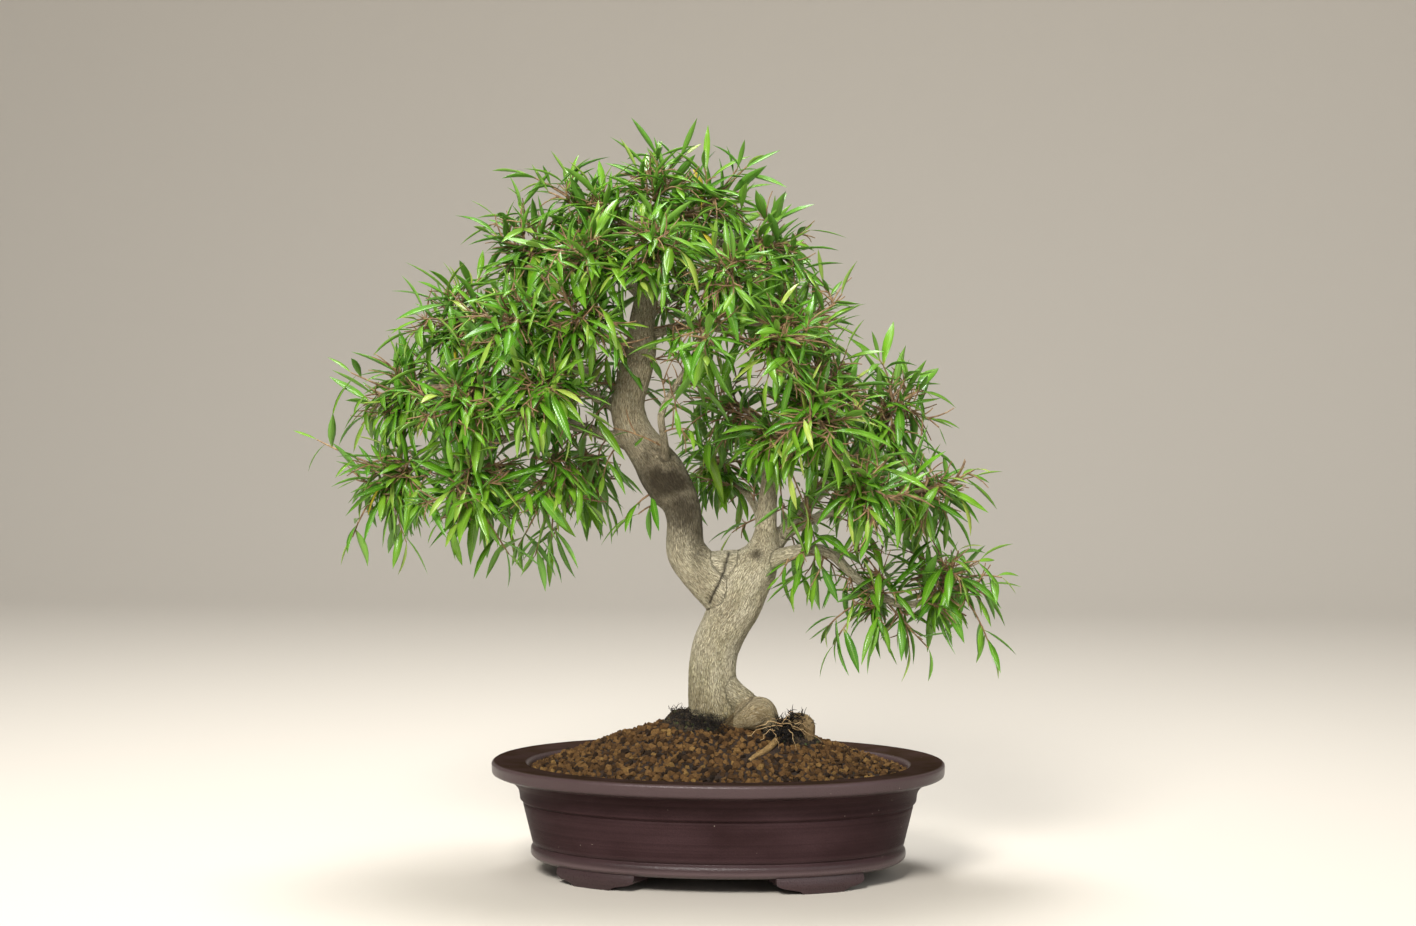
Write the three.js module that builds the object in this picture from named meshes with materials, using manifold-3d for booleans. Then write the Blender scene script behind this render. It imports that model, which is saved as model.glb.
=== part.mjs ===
// Willow leaf ficus bonsai in its oval clay pot.
// Units are millimetres and +Z is up. The pot's long side runs along X and its front faces -Y.
// All places below are measured from the middle of the pot, with its feet standing on z = 0.
// At the end the group is shifted, so that the origin lies under the middle of the whole object.

import * as THREE from "three";
import Module from "manifold-3d";

const wasm = await Module();
wasm.setup();

// Pot, by its rim
const RIM_HALF_LENGTH = 190;
const RIM_HALF_WIDTH = 140;
const RIM_SQUARENESS = 2.1; // 2 gives an ellipse, more gives squarer corners
const POT_SEGMENTS = 32;
const FLOOR_UNDERSIDE = 13;
const FLOOR_TOP = 22;

// Pot section from the underside out and up to the rim, then down the inside: inset from the rim, height
const POT_PROFILE = [
  [37.5, FLOOR_UNDERSIDE],
  [35.3, 14.4],
  [32.9, 19.5],
  [34, 25.5],
  [26.2, 59.2],
  [27.4, 60.8],
  [23.6, 63.2],
  [17.5, 73.6],
  [9, 81.4],
  [1.4, 83.8],
  [0, 87],
  [0.6, 94],
  [2.6, 95.2],
  [29.8, 93.2],
  [32.5, 88],
  [41, 29],
  [48, FLOOR_TOP],
];
const INNER_WALL = POT_PROFILE.slice(-3);

// Feet: brackets under the bead, with hollowed ends
const FOOT_ANGLES = [52.5, 127.5, 232.5, 307.5];
const FOOT_HALF_ANGLE = 16.5;
const FOOT_INSET = 35.6;
const FOOT_DEPTH = 26;
const FOOT_LEVELS = [
  [0, 0.46],
  [2.2, 0.52],
  [4.4, 0.78],
  [6.8, 0.96],
  [FLOOR_UNDERSIDE + 1.2, 1],
]; // height, share of the foot's full length

// Drain holes and the screens over them
const DRAIN_PLACES = [-75, 75];
const DRAIN_RADIUS = 11;
const DRAIN_SEGMENTS = 20;
const CUT_PAST = 5; // how far a cutting plug runs past the floor
const SCREEN_SIDE = 38;
const SCREEN_THICKNESS = 1.4;
const SCREEN_HOLES = 2;
const SCREEN_BAR = 3.5;

// Soil mound
const GAP = 0.3;
const SOIL_EDGE = 87;
const MOUND_RISE = 47;
const MOUND_ROUNDNESS = 1.3;
const MOUND_TOP_X = -8;
const SOIL_RINGS = 10;
const GRAIN_RELIEF = 2.2;
const EDGE_RELIEF = 0.9;
const GRAIN_SHAKE = 0.5; // share of the distance between neighbours

// Tree wood: each path is a row of [x, y, z, radius]
const TRUNK_SIDES = 10;
const LEADER_SIDES = 8;
const SADDLE_SIDES = 7;
const LIMB_SIDES = 5;
const ROOT_SIDES = 6;
const TRUNK = [
  [1, 0, 102, 25],
  [0, 0, 118, 24.5],
  [-2, 0, 135, 23],
  [-4, 0, 154, 21],
  [-4, 0, 175, 19.5],
  [-1, 0, 192, 19.5],
  [6, 0, 208, 20],
  [15, 0, 225, 21.5],
  [24, 0, 244, 21],
  [32, 1, 259, 19],
  [38, 2, 272, 14],
  [40, 1, 288, 9.5],
  [41, 0, 305, 8.5],
  [43, -2, 322, 7.5],
  [48, -6, 355, 6.2],
  [60, -12, 388, 4.6],
  [73, -20, 417, 3],
];
const LEADER = [
  [18, 0, 214, 13],
  [8, -1, 230, 17.5],
  [-5, -2, 244, 18.3],
  [-17, -3, 257, 17.6],
  [-26, -3, 270, 16.6],
  [-27.5, -2, 283, 15.5],
  [-28, -2, 297, 15.2],
  [-31.5, -1, 311, 16],
  [-40, 0, 324, 18.6],
  [-48, 0, 337, 19],
  [-59, 0, 353, 16.4],
  [-70, -1, 370, 15],
  [-75, -2, 388, 14.2],
  [-73, -2, 404, 13.8],
  [-68, -1, 422, 14],
  [-64, 0, 438, 12.4],
  [-64, 1, 455, 11.2],
  [-61, 2, 480, 9.2],
  [-56, 2, 508, 6.8],
  [-52, 0, 532, 4.6],
  [-50, -3, 550, 2.8],
];

// The saddle of wood that fills the fork
const SADDLE = [
  [-18, -2, 255, 14],
  [4, 0, 255.5, 16],
  [26, 1, 256, 15],
];

// Limbs start inside the stem that bears them
const LIMBS = {
  low_left: [
    [-62, 0, 352, 7],
    [-88, -4, 365, 5.4],
    [-136, -12, 377, 4.2],
    [-175, -16, 364, 3.5],
    [-215, -17, 350, 2.8],
    [-245, -15, 338, 2.2],
  ],
  mid_left: [
    [-73, 0, 384, 6],
    [-91, -4, 393, 4.8],
    [-112, -10, 404, 4],
    [-145, -12, 413, 3.5],
    [-183, -8, 413, 3],
    [-228, 2, 406, 2.2],
  ],
  back_left: [
    [-74, 0, 400, 6],
    [-98, 38, 410, 4.4],
    [-122, 78, 419, 3.4],
    [-146, 104, 424, 2.4],
  ],
  high_left: [
    [-63, 0, 434, 6],
    [-91, 5, 447, 4.4],
    [-122, 5, 458, 3.6],
    [-158, 0, 462, 3],
    [-192, -5, 461, 2.2],
  ],
  shoulder_left: [
    [-61, 0, 480, 5],
    [-86, 1, 501, 3.6],
    [-116, 1, 515, 2.9],
    [-140, 0, 524, 2.2],
  ],
  thin_front: [
    [-44, -4, 338, 6],
    [-42, -22, 362, 3.6],
    [-43, -36, 384, 3.2],
    [-34, -48, 402, 2.8],
    [-17, -62, 428, 2.3],
    [-6, -68, 448, 2],
  ],
  high_right: [
    [-63, 0, 448, 6],
    [-42, 5, 455, 4.4],
    [-16, 8, 459, 4.6],
    [10, 5, 455, 3.6],
    [39, 0, 462, 2.8],
    [63, -5, 464, 2.2],
  ],
  back_right: [
    [-63, 0, 455, 6],
    [-54, 36, 474, 4],
    [-30, 66, 488, 3],
    [2, 80, 492, 2.2],
  ],
  shoulder_right: [
    [-57, 1, 508, 4.6],
    [-32, 4, 520, 3.4],
    [-3, 4, 526, 2.8],
    [20, 1, 530, 2.2],
  ],
  second: [
    [36, 2, 266, 11],
    [52, 8, 282, 7.4],
    [65, 13, 299, 6],
    [88, 18, 322, 4.6],
    [114, 16, 350, 3.6],
    [138, 12, 374, 2.4],
  ],
  outer: [
    [52, 8, 283, 6],
    [76, -6, 296, 4.4],
    [104, -24, 307, 3.6],
    [132, -30, 314, 3],
    [160, -26, 320, 2.2],
  ],
  low_right: [
    [36, -2, 258, 10],
    [60, -8, 269, 6.6],
    [79, -12, 273, 5.4],
    [96, -16, 270, 4.8],
    [110, -18, 257, 4.2],
    [132, -17, 238, 3.7],
    [157, -12, 228, 3.2],
    [184, -3, 234, 2.2],
  ],
  back: [
    [38, 4, 278, 8],
    [32, 34, 298, 4.4],
    [17, 62, 316, 3.4],
    [0, 82, 326, 2.4],
  ],
};

// Thick roots, from the trunk's foot over the mound and into it
const ROOTS = [
  [
    [2, -2, 160, 14],
    [14, -6, 150, 12],
    [26, -10, 143, 10.5],
    [37, -12, 136, 8],
    [45, -13, 122, 5],
  ],
  [
    [9, -22, 126, 3],
    [17, -22, 129, 6.5],
    [28, -21, 134.5, 12],
    [38, -19.5, 137.5, 13.5],
    [46, -17.5, 128, 8.5],
    [50, -16, 113, 5],
  ],
  [
    [46, -6, 124, 5],
    [55, -12, 121.5, 3.2],
    [54.5, -24, 119.2, 3.2],
    [52, -36, 116.8, 3.1],
    [48.5, -47, 113.6, 3],
    [44.6, -54.5, 111, 2.8],
    [39.5, -61, 108.8, 2.5],
    [34.4, -67.5, 106, 2.1],
    [30, -72, 101, 1.6],
  ],
  [
    [50, -12, 122, 5],
    [59, -13, 126, 6],
    [67, -14, 129, 8.6],
    [75, -14, 127.5, 7.6],
    [77, -14, 118, 5.5],
    [77, -14, 106, 3.5],
  ],
  [
    [2, 8, 138, 12],
    [26, 26, 126, 8],
    [48, 40, 112, 5],
    [66, 50, 96, 3],
  ],
  [
    [-8, 4, 138, 13],
    [-28, 16, 125, 8],
    [-48, 26, 112, 5],
    [-68, 34, 96, 3],
  ],
  [
    [-6, -6, 136, 13],
    [-24, -20, 121, 8],
    [-38, -34, 106, 5],
    [-52, -46, 90, 3],
  ],
];

// Leafy boughs: limb that bears it, share of the way along the limb, middle of the leaf mass, its radius,
// and how far its leaves hang, from -1 for upright to 1 for straight down
const BOUGHS = [
  ["left_low_tip", "low_left", 1, [-272, -15, 334], 50, 0.62],
  ["left_low_front", "low_left", 0.72, [-198, -80, 326], 50, 0.68],
  ["left_low_back", "low_left", 0.66, [-205, 72, 316], 50, 0.65],
  ["left_low_inner", "low_left", 0.36, [-128, -62, 331], 44, 0.6],
  ["left_low_inner_back", "low_left", 0.25, [-122, 74, 330], 44, 0.6],
  ["left_mid_tip", "mid_left", 1, [-274, 12, 398], 50, 0.35],
  ["left_mid_front", "mid_left", 0.7, [-204, -98, 392], 50, 0.42],
  ["left_mid_back", "mid_left", 0.74, [-226, 94, 395], 50, 0.42],
  ["left_mid_inner", "mid_left", 0.32, [-134, -108, 400], 47, 0.38],
  ["left_mid_inner_back", "back_left", 1, [-156, 126, 408], 48, 0.45],
  ["left_high_tip", "high_left", 1, [-224, -10, 458], 50, 0.12],
  ["left_high_front", "high_left", 0.7, [-162, -84, 458], 50, 0.15],
  ["left_high_back", "high_left", 0.72, [-178, 84, 464], 50, 0.15],
  ["left_high_inner", "high_left", 0.3, [-105, -90, 462], 45, 0.12],
  ["shoulder_left", "shoulder_left", 1, [-162, 0, 520], 50, -0.1],
  ["shoulder_left_front", "shoulder_left", 0.42, [-102, -76, 512], 48, 0],
  ["shoulder_left_back", "shoulder_left", 0.5, [-116, 80, 514], 48, 0],
  ["crown_left", "LEADER", 0.93, [-110, -8, 550], 48, -0.32],
  ["crown_top", "LEADER", 1, [-50, -6, 569], 44, -0.45],
  ["crown_right", "LEADER", 0.95, [-4, 6, 556], 46, -0.35],
  ["crown_front", "LEADER", 0.84, [-46, -78, 522], 47, -0.1],
  ["crown_back", "LEADER", 0.86, [-42, 82, 524], 47, -0.1],
  ["shoulder_right", "shoulder_right", 1, [44, 2, 520], 47, -0.12],
  ["shoulder_right_front", "shoulder_right", 0.62, [20, -76, 492], 47, 0.02],
  ["shoulder_right_back", "back_right", 1, [30, 90, 486], 48, 0.02],
  ["right_high_tip", "high_right", 1, [80, -6, 458], 46, 0.12],
  ["right_high_front", "high_right", 0.72, [62, -92, 440], 47, 0.25],
  ["heart_front", "thin_front", 1, [-2, -96, 452], 38, 0.2],
  ["right_mid", "TRUNK", 1, [100, -34, 408], 46, 0.25],
  ["right_mid_front", "TRUNK", 0.9, [94, -98, 376], 47, 0.42],
  ["right_mid_back", "second", 0.62, [80, 92, 398], 47, 0.4],
  ["right_mid_tip", "second", 1, [146, 12, 390], 47, 0.25],
  ["right_low_front", "outer", 0.6, [130, -84, 328], 47, 0.5],
  ["right_low_tip", "outer", 1, [178, -18, 324], 46, 0.42],
  ["right_low_back", "second", 0.42, [122, 84, 326], 47, 0.5],
  ["right_hang_tip", "low_right", 0.98, [192, 8, 246], 43, 0.6],
  ["right_hang", "low_right", 0.74, [138, -14, 236], 38, 0.7],
  ["heart_middle", "TRUNK", 0.8, [2, 34, 392], 42, 0.35],
  ["heart_right", "TRUNK", 0.8, [52, -52, 368], 40, 0.42],
  ["heart_back", "back", 1, [-6, 92, 342], 46, 0.5],
];

// Stem of a bough: a bow up and along its limb, bent sideways where it would cross another limb
const STEM_ROOT_RADIUS = 2.9;
const STEM_TIP_RADIUS = 2.3;
const STEM_SIDES = 4;
const STEM_SPANS = 2;
const STEM_BOW_ALONG = 0.12;
const STEM_BOW_UP = 0.14;
const STEM_BENDS = [0, 0.12, -0.12, 0.24, -0.24, 0.36, -0.36];

// Twigs of a bough: the first nearly straight out, the others spread round it
const TREE_HEART_X = -25;
const TREE_HEART_HEIGHT = 420;
const HEART_BELOW_BOUGH = 30;
const TWIGS = 4;
const TWIG_REACH = 0.44; // share of the bough's radius
const TWIG_SPREAD = 70; // degrees
const FIRST_TWIG_SPREAD = 12;
const FIRST_TWIG_SEAT = 0.99; // share of the stem
const TWIG_SEAT_STEP = 0.1;
const TWIG_RADIUS = 1.4;

// Leaves: lance-shaped, with a keel, curved down towards the tip. One ends each twig, one sits on its side.
const LEAF_LENGTH = 49;
const LEAF_LENGTH_SPREAD = 0.17;
const LEAF_HALF_WIDTH = 5.2;
const LEAF_THICKNESS = 1.15;
const LEAF_SAG = 0.2;
const LEAF_STATIONS = [
  [0.32, 1],
  [0.68, 0.72],
]; // share of the length, share of the half width
const LEAF_PAST_STALK = [0.2, 0.7];
const STALK_HALF_WIDTH = 0.5;
const STALK_THICKNESS = 0.6;
const END_LEAF_BEND = 0.6; // share of the bough's hang
const END_LEAF_ROLL = 1.2; // radians, both ways together
const SIDE_LEAF_ROLL = 1.6;
const SIDE_LEAF_SEAT = 0.92; // share of the twig
const SIDE_LEAF_OPENING = 0.95; // radians off the twig

// Finding clear places
const CLEARANCE = 0.35;
const TOUCH = 1e-6; // cubic millimetres in common
const TRIES = 14;
const FIRST_SEED = 100;
const SOIL_SEED = 11;
const TWIG_TRY_TURN = 0.35; // radians
const LEAF_TRY_TURN = 1.9;
const LEAF_TRY_OPENING = 0.05;

const UP = new THREE.Vector3(0, 0, 1);
const vector = ([x, y, z]) => new THREE.Vector3(x, y, z);

// Even random draws from 0 to 1, the same for the same seed
function seeded(seed) {
  let state = seed >>> 0;
  return () => {
    state = (state + 0x6d2b79f5) >>> 0;
    let t = Math.imul(state ^ (state >>> 15), 1 | state);
    t = (t + Math.imul(t ^ (t >>> 7), 61 | t)) ^ t;
    return ((t ^ (t >>> 14)) >>> 0) / 4294967296;
  };
}

// Geometry of points and triangles
function geometry(points, faces) {
  const positions = new Float32Array(points.flatMap((p) => [p.x, p.y, p.z]));
  return new THREE.BufferGeometry()
    .setAttribute("position", new THREE.BufferAttribute(positions, 3))
    .setIndex(faces.flat());
}

// A closed geometry as a solid that can be joined and cut
function solid(shape) {
  const made = new wasm.Mesh({
    numProp: 3,
    vertProperties: shape.attributes.position.array,
    triVerts: new Uint32Array(shape.index.array),
  });
  return new wasm.Manifold(made);
}

const join = (solids) => solids.reduce((whole, next) => whole.add(next));

// A skin over rings of points, each counterclockwise as seen from the end it runs to.
// A ring of one point closes to a tip, and any other end ring gets a flat cap.
function loft(rings) {
  const faces = [];
  const last = rings.length - 1;
  let start = 0;
  for (let j = 0; j < last; j++) {
    const here = rings[j].length;
    const next = rings[j + 1].length;
    const sides = Math.max(here, next);
    for (let i = 0; i < sides; i++) {
      const k = (i + 1) % sides;
      const above = start + here;
      if (here > 1) faces.push([start + i, start + k, next > 1 ? above + k : above]);
      if (next > 1) faces.push([here > 1 ? start + i : start, above + k, above + i]);
    }
    start += here;
  }
  for (let i = 1; i + 1 < rings[0].length; i++) faces.push([0, i + 1, i]);
  for (let i = 1; i + 1 < rings[last].length; i++) faces.push([start, start + i, start + i + 1]);
  return geometry(rings.flat(), faces);
}

// A tapered round stick along stations of [x, y, z, radius], as many-sided as asked.
// Growth makes it fatter all round, and longer by as much at both ends.
function stick(stations, sides, growth = 0) {
  const places = stations.map(vector);
  const across = new THREE.Vector3(0, 1, 0);
  const rings = places.map((place, j) => {
    const before = places[Math.max(j - 1, 0)];
    const after = places[Math.min(j + 1, places.length - 1)];
    const along = after.clone().sub(before).normalize();
    across.addScaledVector(along, -across.dot(along)).normalize();
    const other = along.clone().cross(across);
    const radius = stations[j][3] + growth;
    const past = (Number(after === place) - Number(before === place)) * growth;
    return Array.from({ length: sides }, (_, i) => {
      const turn = (i / sides) * 2 * Math.PI;
      return place
        .clone()
        .addScaledVector(along, past)
        .addScaledVector(across, Math.cos(turn) * radius)
        .addScaledVector(other, Math.sin(turn) * radius);
    });
  });
  return loft(rings);
}

// Place and direction a share of the way along stations
function along(stations, share) {
  const places = stations.map(vector);
  const spans = places.slice(1).map((p, i) => p.distanceTo(places[i]));
  let left = share * spans.reduce((a, b) => a + b);
  let i = 0;
  while (i < spans.length - 1 && left > spans[i]) left -= spans[i++];
  return {
    place: places[i].clone().lerp(places[i + 1], Math.min(left / spans[i], 1)),
    direction: places[i + 1].clone().sub(places[i]).normalize(),
  };
}

// A point of the pot's outline, with the semi-axes shortened by inset
function outline(angle, inset, height) {
  const c = Math.cos(angle);
  const s = Math.sin(angle);
  const power = 2 / RIM_SQUARENESS;
  return new THREE.Vector3(
    (RIM_HALF_LENGTH - inset) * Math.sign(c) * Math.abs(c) ** power,
    (RIM_HALF_WIDTH - inset) * Math.sign(s) * Math.abs(s) ** power,
    height,
  );
}

const potCorner = (i, inset, height) => outline((i / POT_SEGMENTS) * 2 * Math.PI, inset, height);

function outlineRing(inset, height) {
  return Array.from({ length: POT_SEGMENTS }, (_, i) => potCorner(i, inset, height));
}

// A point on the flats between the pot's corners, for what fits inside it
function wallPoint(share, inset, height) {
  const corner = Math.floor(share * POT_SEGMENTS);
  const next = potCorner(corner + 1, inset, height);
  return potCorner(corner, inset, height).lerp(next, share * POT_SEGMENTS - corner);
}

// The foot's plan starts at the middle of its inner edge, which sees every other point
function foot(middle) {
  const turns = [-1, -0.5, 0, 0.5, 1];
  const rings = FOOT_LEVELS.map(([height, share]) => {
    const at = (turn, inset) => {
      const degrees = middle + turn * share * FOOT_HALF_ANGLE;
      return outline(THREE.MathUtils.degToRad(degrees), inset, height);
    };
    const inner = FOOT_INSET + FOOT_DEPTH;
    return [at(0, inner), at(-1, inner), ...turns.map((t) => at(t, FOOT_INSET)), at(1, inner)];
  });
  return solid(loft(rings));
}

// An upright round plug that cuts a drain hole
function drainPlug(x) {
  const height = FLOOR_TOP + CUT_PAST;
  const shape = new THREE.CylinderGeometry(DRAIN_RADIUS, DRAIN_RADIUS, height, DRAIN_SEGMENTS);
  shape.rotateX(Math.PI / 2);
  shape.translate(x, 0, height / 2);
  return welded(shape);
}

// three.js shapes repeat the points along their edges, so they are merged before they become solids
function welded(shape) {
  const plain = shape.index ? shape.toNonIndexed() : shape;
  const position = plain.attributes.position;
  const seen = new Map();
  const points = [];
  const order = [];
  for (let i = 0; i < position.count; i++) {
    const point = new THREE.Vector3().fromBufferAttribute(position, i);
    const key = point.toArray().map((v) => v.toFixed(4)).join();
    if (!seen.has(key)) {
      seen.set(key, points.length);
      points.push(point);
    }
    order.push(seen.get(key));
  }
  const faces = [];
  for (let i = 0; i < order.length; i += 3) {
    const [a, b, c] = order.slice(i, i + 3);
    if (a !== b && b !== c && c !== a) faces.push([a, b, c]);
  }
  return solid(geometry(points, faces));
}

function makePot() {
  const rings = POT_PROFILE.map(([inset, height]) => outlineRing(inset, height));
  const middle = (height) => [new THREE.Vector3(0, 0, height)];
  const bowl = solid(loft([middle(FLOOR_UNDERSIDE), ...rings, middle(FLOOR_TOP)]));
  const feet = FOOT_ANGLES.map(foot);
  const drains = DRAIN_PLACES.map(drainPlug);
  return join([bowl, ...feet]).subtract(join(drains));
}

// A box-shaped solid round a middle
function block(x, y, z, length, width, height) {
  const shape = new THREE.BoxGeometry(length, width, height);
  shape.translate(x, y, z);
  return welded(shape);
}

// Square plastic mesh over a drain hole: bars both ways, joined where they cross
function makeScreen(x) {
  const pitch = (SCREEN_SIDE - SCREEN_BAR) / SCREEN_HOLES;
  const z = FLOOR_TOP + GAP + SCREEN_THICKNESS / 2;
  const bars = Array.from({ length: SCREEN_HOLES + 1 }, (_, i) => {
    const off = (i - SCREEN_HOLES / 2) * pitch;
    const across = block(x + off, 0, z, SCREEN_BAR, SCREEN_SIDE, SCREEN_THICKNESS);
    return across.add(block(x, off, z, SCREEN_SIDE, SCREEN_BAR, SCREEN_THICKNESS));
  });
  return join(bars);
}

// Height of the mound a share of the way from its top to the pot's wall
const moundHeight = (share) => SOIL_EDGE + MOUND_RISE * (1 - share ** MOUND_ROUNDNESS);

// The mound's top is a fan of rings with six more points on each, shaken into grain relief.
// Its side follows the inner wall of the pot down to the floor.
function makeSoil(trunkFat, screens) {
  const random = seeded(SOIL_SEED);
  const edge = INNER_WALL[0][0] + GAP;
  const points = [new THREE.Vector3(MOUND_TOP_X, 0, moundHeight(0))];
  const first = [0];
  const spot = (ring, i) => (ring ? first[ring] + (i % (6 * ring)) : 0);
  for (let ring = 1; ring <= SOIL_RINGS; ring++) {
    first.push(points.length);
    const outermost = ring === SOIL_RINGS;
    for (let i = 0; i < 6 * ring; i++) {
      const shake = outermost ? 0 : GRAIN_SHAKE;
      const relief = outermost ? EDGE_RELIEF : GRAIN_RELIEF;
      const share = (ring + (random() - 0.5) * shake) / SOIL_RINGS;
      const turn = (i + (random() - 0.5) * shake) / (6 * ring);
      const point = wallPoint((turn + 1) % 1, edge, 0).multiplyScalar(share);
      point.x += MOUND_TOP_X * (1 - share);
      point.z = moundHeight(share) + (random() - 0.5) * 2 * relief;
      points.push(point);
    }
  }
  const faces = [];
  for (let ring = 0; ring < SOIL_RINGS; ring++) {
    for (let sector = 0; sector < 6; sector++) {
      for (let i = 0; i <= ring; i++) {
        const inner = sector * ring + i;
        const outer = sector * (ring + 1) + i;
        faces.push([spot(ring, inner), spot(ring + 1, outer), spot(ring + 1, outer + 1)]);
        if (i < ring) faces.push([spot(ring, inner), spot(ring + 1, outer + 1), spot(ring, inner + 1)]);
      }
    }
  }
  const around = 6 * SOIL_RINGS;
  for (const [inset, height] of INNER_WALL.slice(1)) {
    const above = points.length - around;
    const lift = height === FLOOR_TOP ? GAP : 0;
    for (let i = 0; i < around; i++) {
      const k = (i + 1) % around;
      points.push(wallPoint(i / around, inset + GAP, height + lift));
      faces.push([above + i, above + around + i, above + around + k]);
      faces.push([above + i, above + around + k, above + k]);
    }
  }
  const low = points.length - around;
  points.push(new THREE.Vector3(0, 0, FLOOR_TOP + GAP));
  for (let i = 0; i < around; i++) faces.push([points.length - 1, low + ((i + 1) % around), low + i]);
  return solid(geometry(points, faces)).subtract(trunkFat).subtract(screens);
}

// Trunk, stems, limbs and thick roots, which grew as one piece
function makeWood(growth = 0) {
  const sticks = [
    stick(TRUNK, TRUNK_SIDES, growth),
    stick(LEADER, LEADER_SIDES, growth),
    stick(SADDLE, SADDLE_SIDES, growth),
    ...Object.values(LIMBS).map((limb) => stick(limb, LIMB_SIDES, growth)),
    ...ROOTS.map((root) => stick(root, ROOT_SIDES, growth)),
  ];
  return join(sticks.map(solid));
}

const bearer = (name) => ({ ...LIMBS, TRUNK, LEADER })[name];

// The bough's stem: out of its limb and up in a bow to the middle of the leaf mass
function stemPath([, limb, share, middle], bend) {
  const { place, direction } = along(bearer(limb), share);
  const end = vector(middle);
  const length = end.distanceTo(place);
  const side = end.clone().sub(place).cross(UP).normalize();
  const bow = place.clone().lerp(end, 0.5).addScaledVector(direction, length * STEM_BOW_ALONG);
  bow.addScaledVector(UP, length * STEM_BOW_UP).addScaledVector(side, length * bend);
  const curve = new THREE.QuadraticBezierCurve3(place, bow, end);
  return curve.getPoints(STEM_SPANS).map((p, i) => {
    const radius = THREE.MathUtils.lerp(STEM_ROOT_RADIUS, STEM_TIP_RADIUS, i / STEM_SPANS);
    return [...p.toArray(), radius];
  });
}

// The bough's outward line runs from the heart of the tree through its leaf mass
function outward(middle) {
  const height = Math.min(middle[2] - HEART_BELOW_BOUGH, TREE_HEART_HEIGHT);
  const heart = new THREE.Vector3(TREE_HEART_X, 0, height);
  return vector(middle).sub(heart).normalize();
}

// Twigs fan out from the end of the stem: one straight on, the others spread round it
function twigPath([, , , middle, radius], stem, turn, i) {
  const out = outward(middle);
  const side = out.clone().cross(UP).normalize();
  const other = out.clone().cross(side);
  const spread = THREE.MathUtils.degToRad(i ? TWIG_SPREAD : FIRST_TWIG_SPREAD);
  const round = turn + (i / (TWIGS - 1)) * 2 * Math.PI;
  const way = out.clone().multiplyScalar(Math.cos(spread));
  way.addScaledVector(side, Math.sin(spread) * Math.cos(round));
  way.addScaledVector(other, Math.sin(spread) * Math.sin(round));
  const { place } = along(stem, FIRST_TWIG_SEAT - TWIG_SEAT_STEP * i);
  const tip = vector(middle).addScaledVector(way, radius * TWIG_REACH);
  return [place, tip].map((p) => [...p.toArray(), TWIG_RADIUS]);
}

// Rings of a lance-shaped blade with a keel, from its widest place to its tip, curved down by its weight
function bladeRings({ root, way, face, length }, growth, stations = LEAF_STATIONS) {
  const reach = length + growth;
  const sag = (t) => -LEAF_SAG * t * t * reach;
  const place = (t) => root.clone().addScaledVector(way, t * reach).addScaledVector(UP, sag(t));
  const rings = stations.map(([t, width]) => {
    const ahead = place(t + 0.05).sub(place(t - 0.05)).normalize();
    return bladeRing(place(t), ahead, face, LEAF_HALF_WIDTH * width, LEAF_THICKNESS, growth);
  });
  return [...rings, [place(1)]];
}

// Flat upper face from edge to edge, and the keel under its middle
function bladeRing(place, ahead, face, half, thickness, growth) {
  const top = face.clone().addScaledVector(ahead, -face.dot(ahead)).normalize();
  const side = top.clone().cross(ahead);
  const at = (s, t) => place.clone().addScaledVector(side, s).addScaledVector(top, t);
  return [at(half + growth, growth), at(-half - growth, growth), at(0, -thickness - growth)];
}

// A leaf on the side of a twig, its stalk sunk to the twig's middle
function sideLeaf(leaf, growth = 0) {
  const stalk = bladeRing(leaf.root, leaf.way, leaf.face, STALK_HALF_WIDTH, STALK_THICKNESS / 2, growth);
  stalk.forEach((point) => point.addScaledVector(leaf.face, STALK_THICKNESS / 4));
  return solid(loft([stalk, ...bladeRings(leaf, growth)]));
}

// The blade without its stalk, to see whether it is clear of its own bough
function bareLeaf(leaf) {
  return solid(loft(bladeRings(leaf, 0, [LEAF_PAST_STALK, ...LEAF_STATIONS])));
}

// A twig that runs on into the leaf at its end
function twigWithLeaf(path, leaf, growth = 0) {
  const [root, tip] = path.map(vector);
  const ahead = tip.clone().sub(root).normalize();
  const round = TWIG_RADIUS * Math.sin(Math.PI / 3);
  const rings = [root, tip].map((place) => {
    const middle = place.clone().addScaledVector(leaf.face, TWIG_RADIUS / 2);
    return bladeRing(middle, ahead, leaf.face, round, TWIG_RADIUS * 1.5, growth);
  });
  return solid(loft([...rings, ...bladeRings(leaf, growth)]));
}

const leafLength = (random) => LEAF_LENGTH * (1 + LEAF_LENGTH_SPREAD * (2 * random() - 1));

// The leaf that ends a twig bends from the twig's own way towards where leaves hang
function endLeaf(path, hang, random) {
  const [root, tip] = path.map(vector);
  const way = tip.clone().sub(root).normalize().addScaledVector(UP, -END_LEAF_BEND * hang).normalize();
  const face = UP.clone().applyAxisAngle(way, (random() - 0.5) * END_LEAF_ROLL);
  return { root: tip, way, face, length: leafLength(random) };
}

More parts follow.
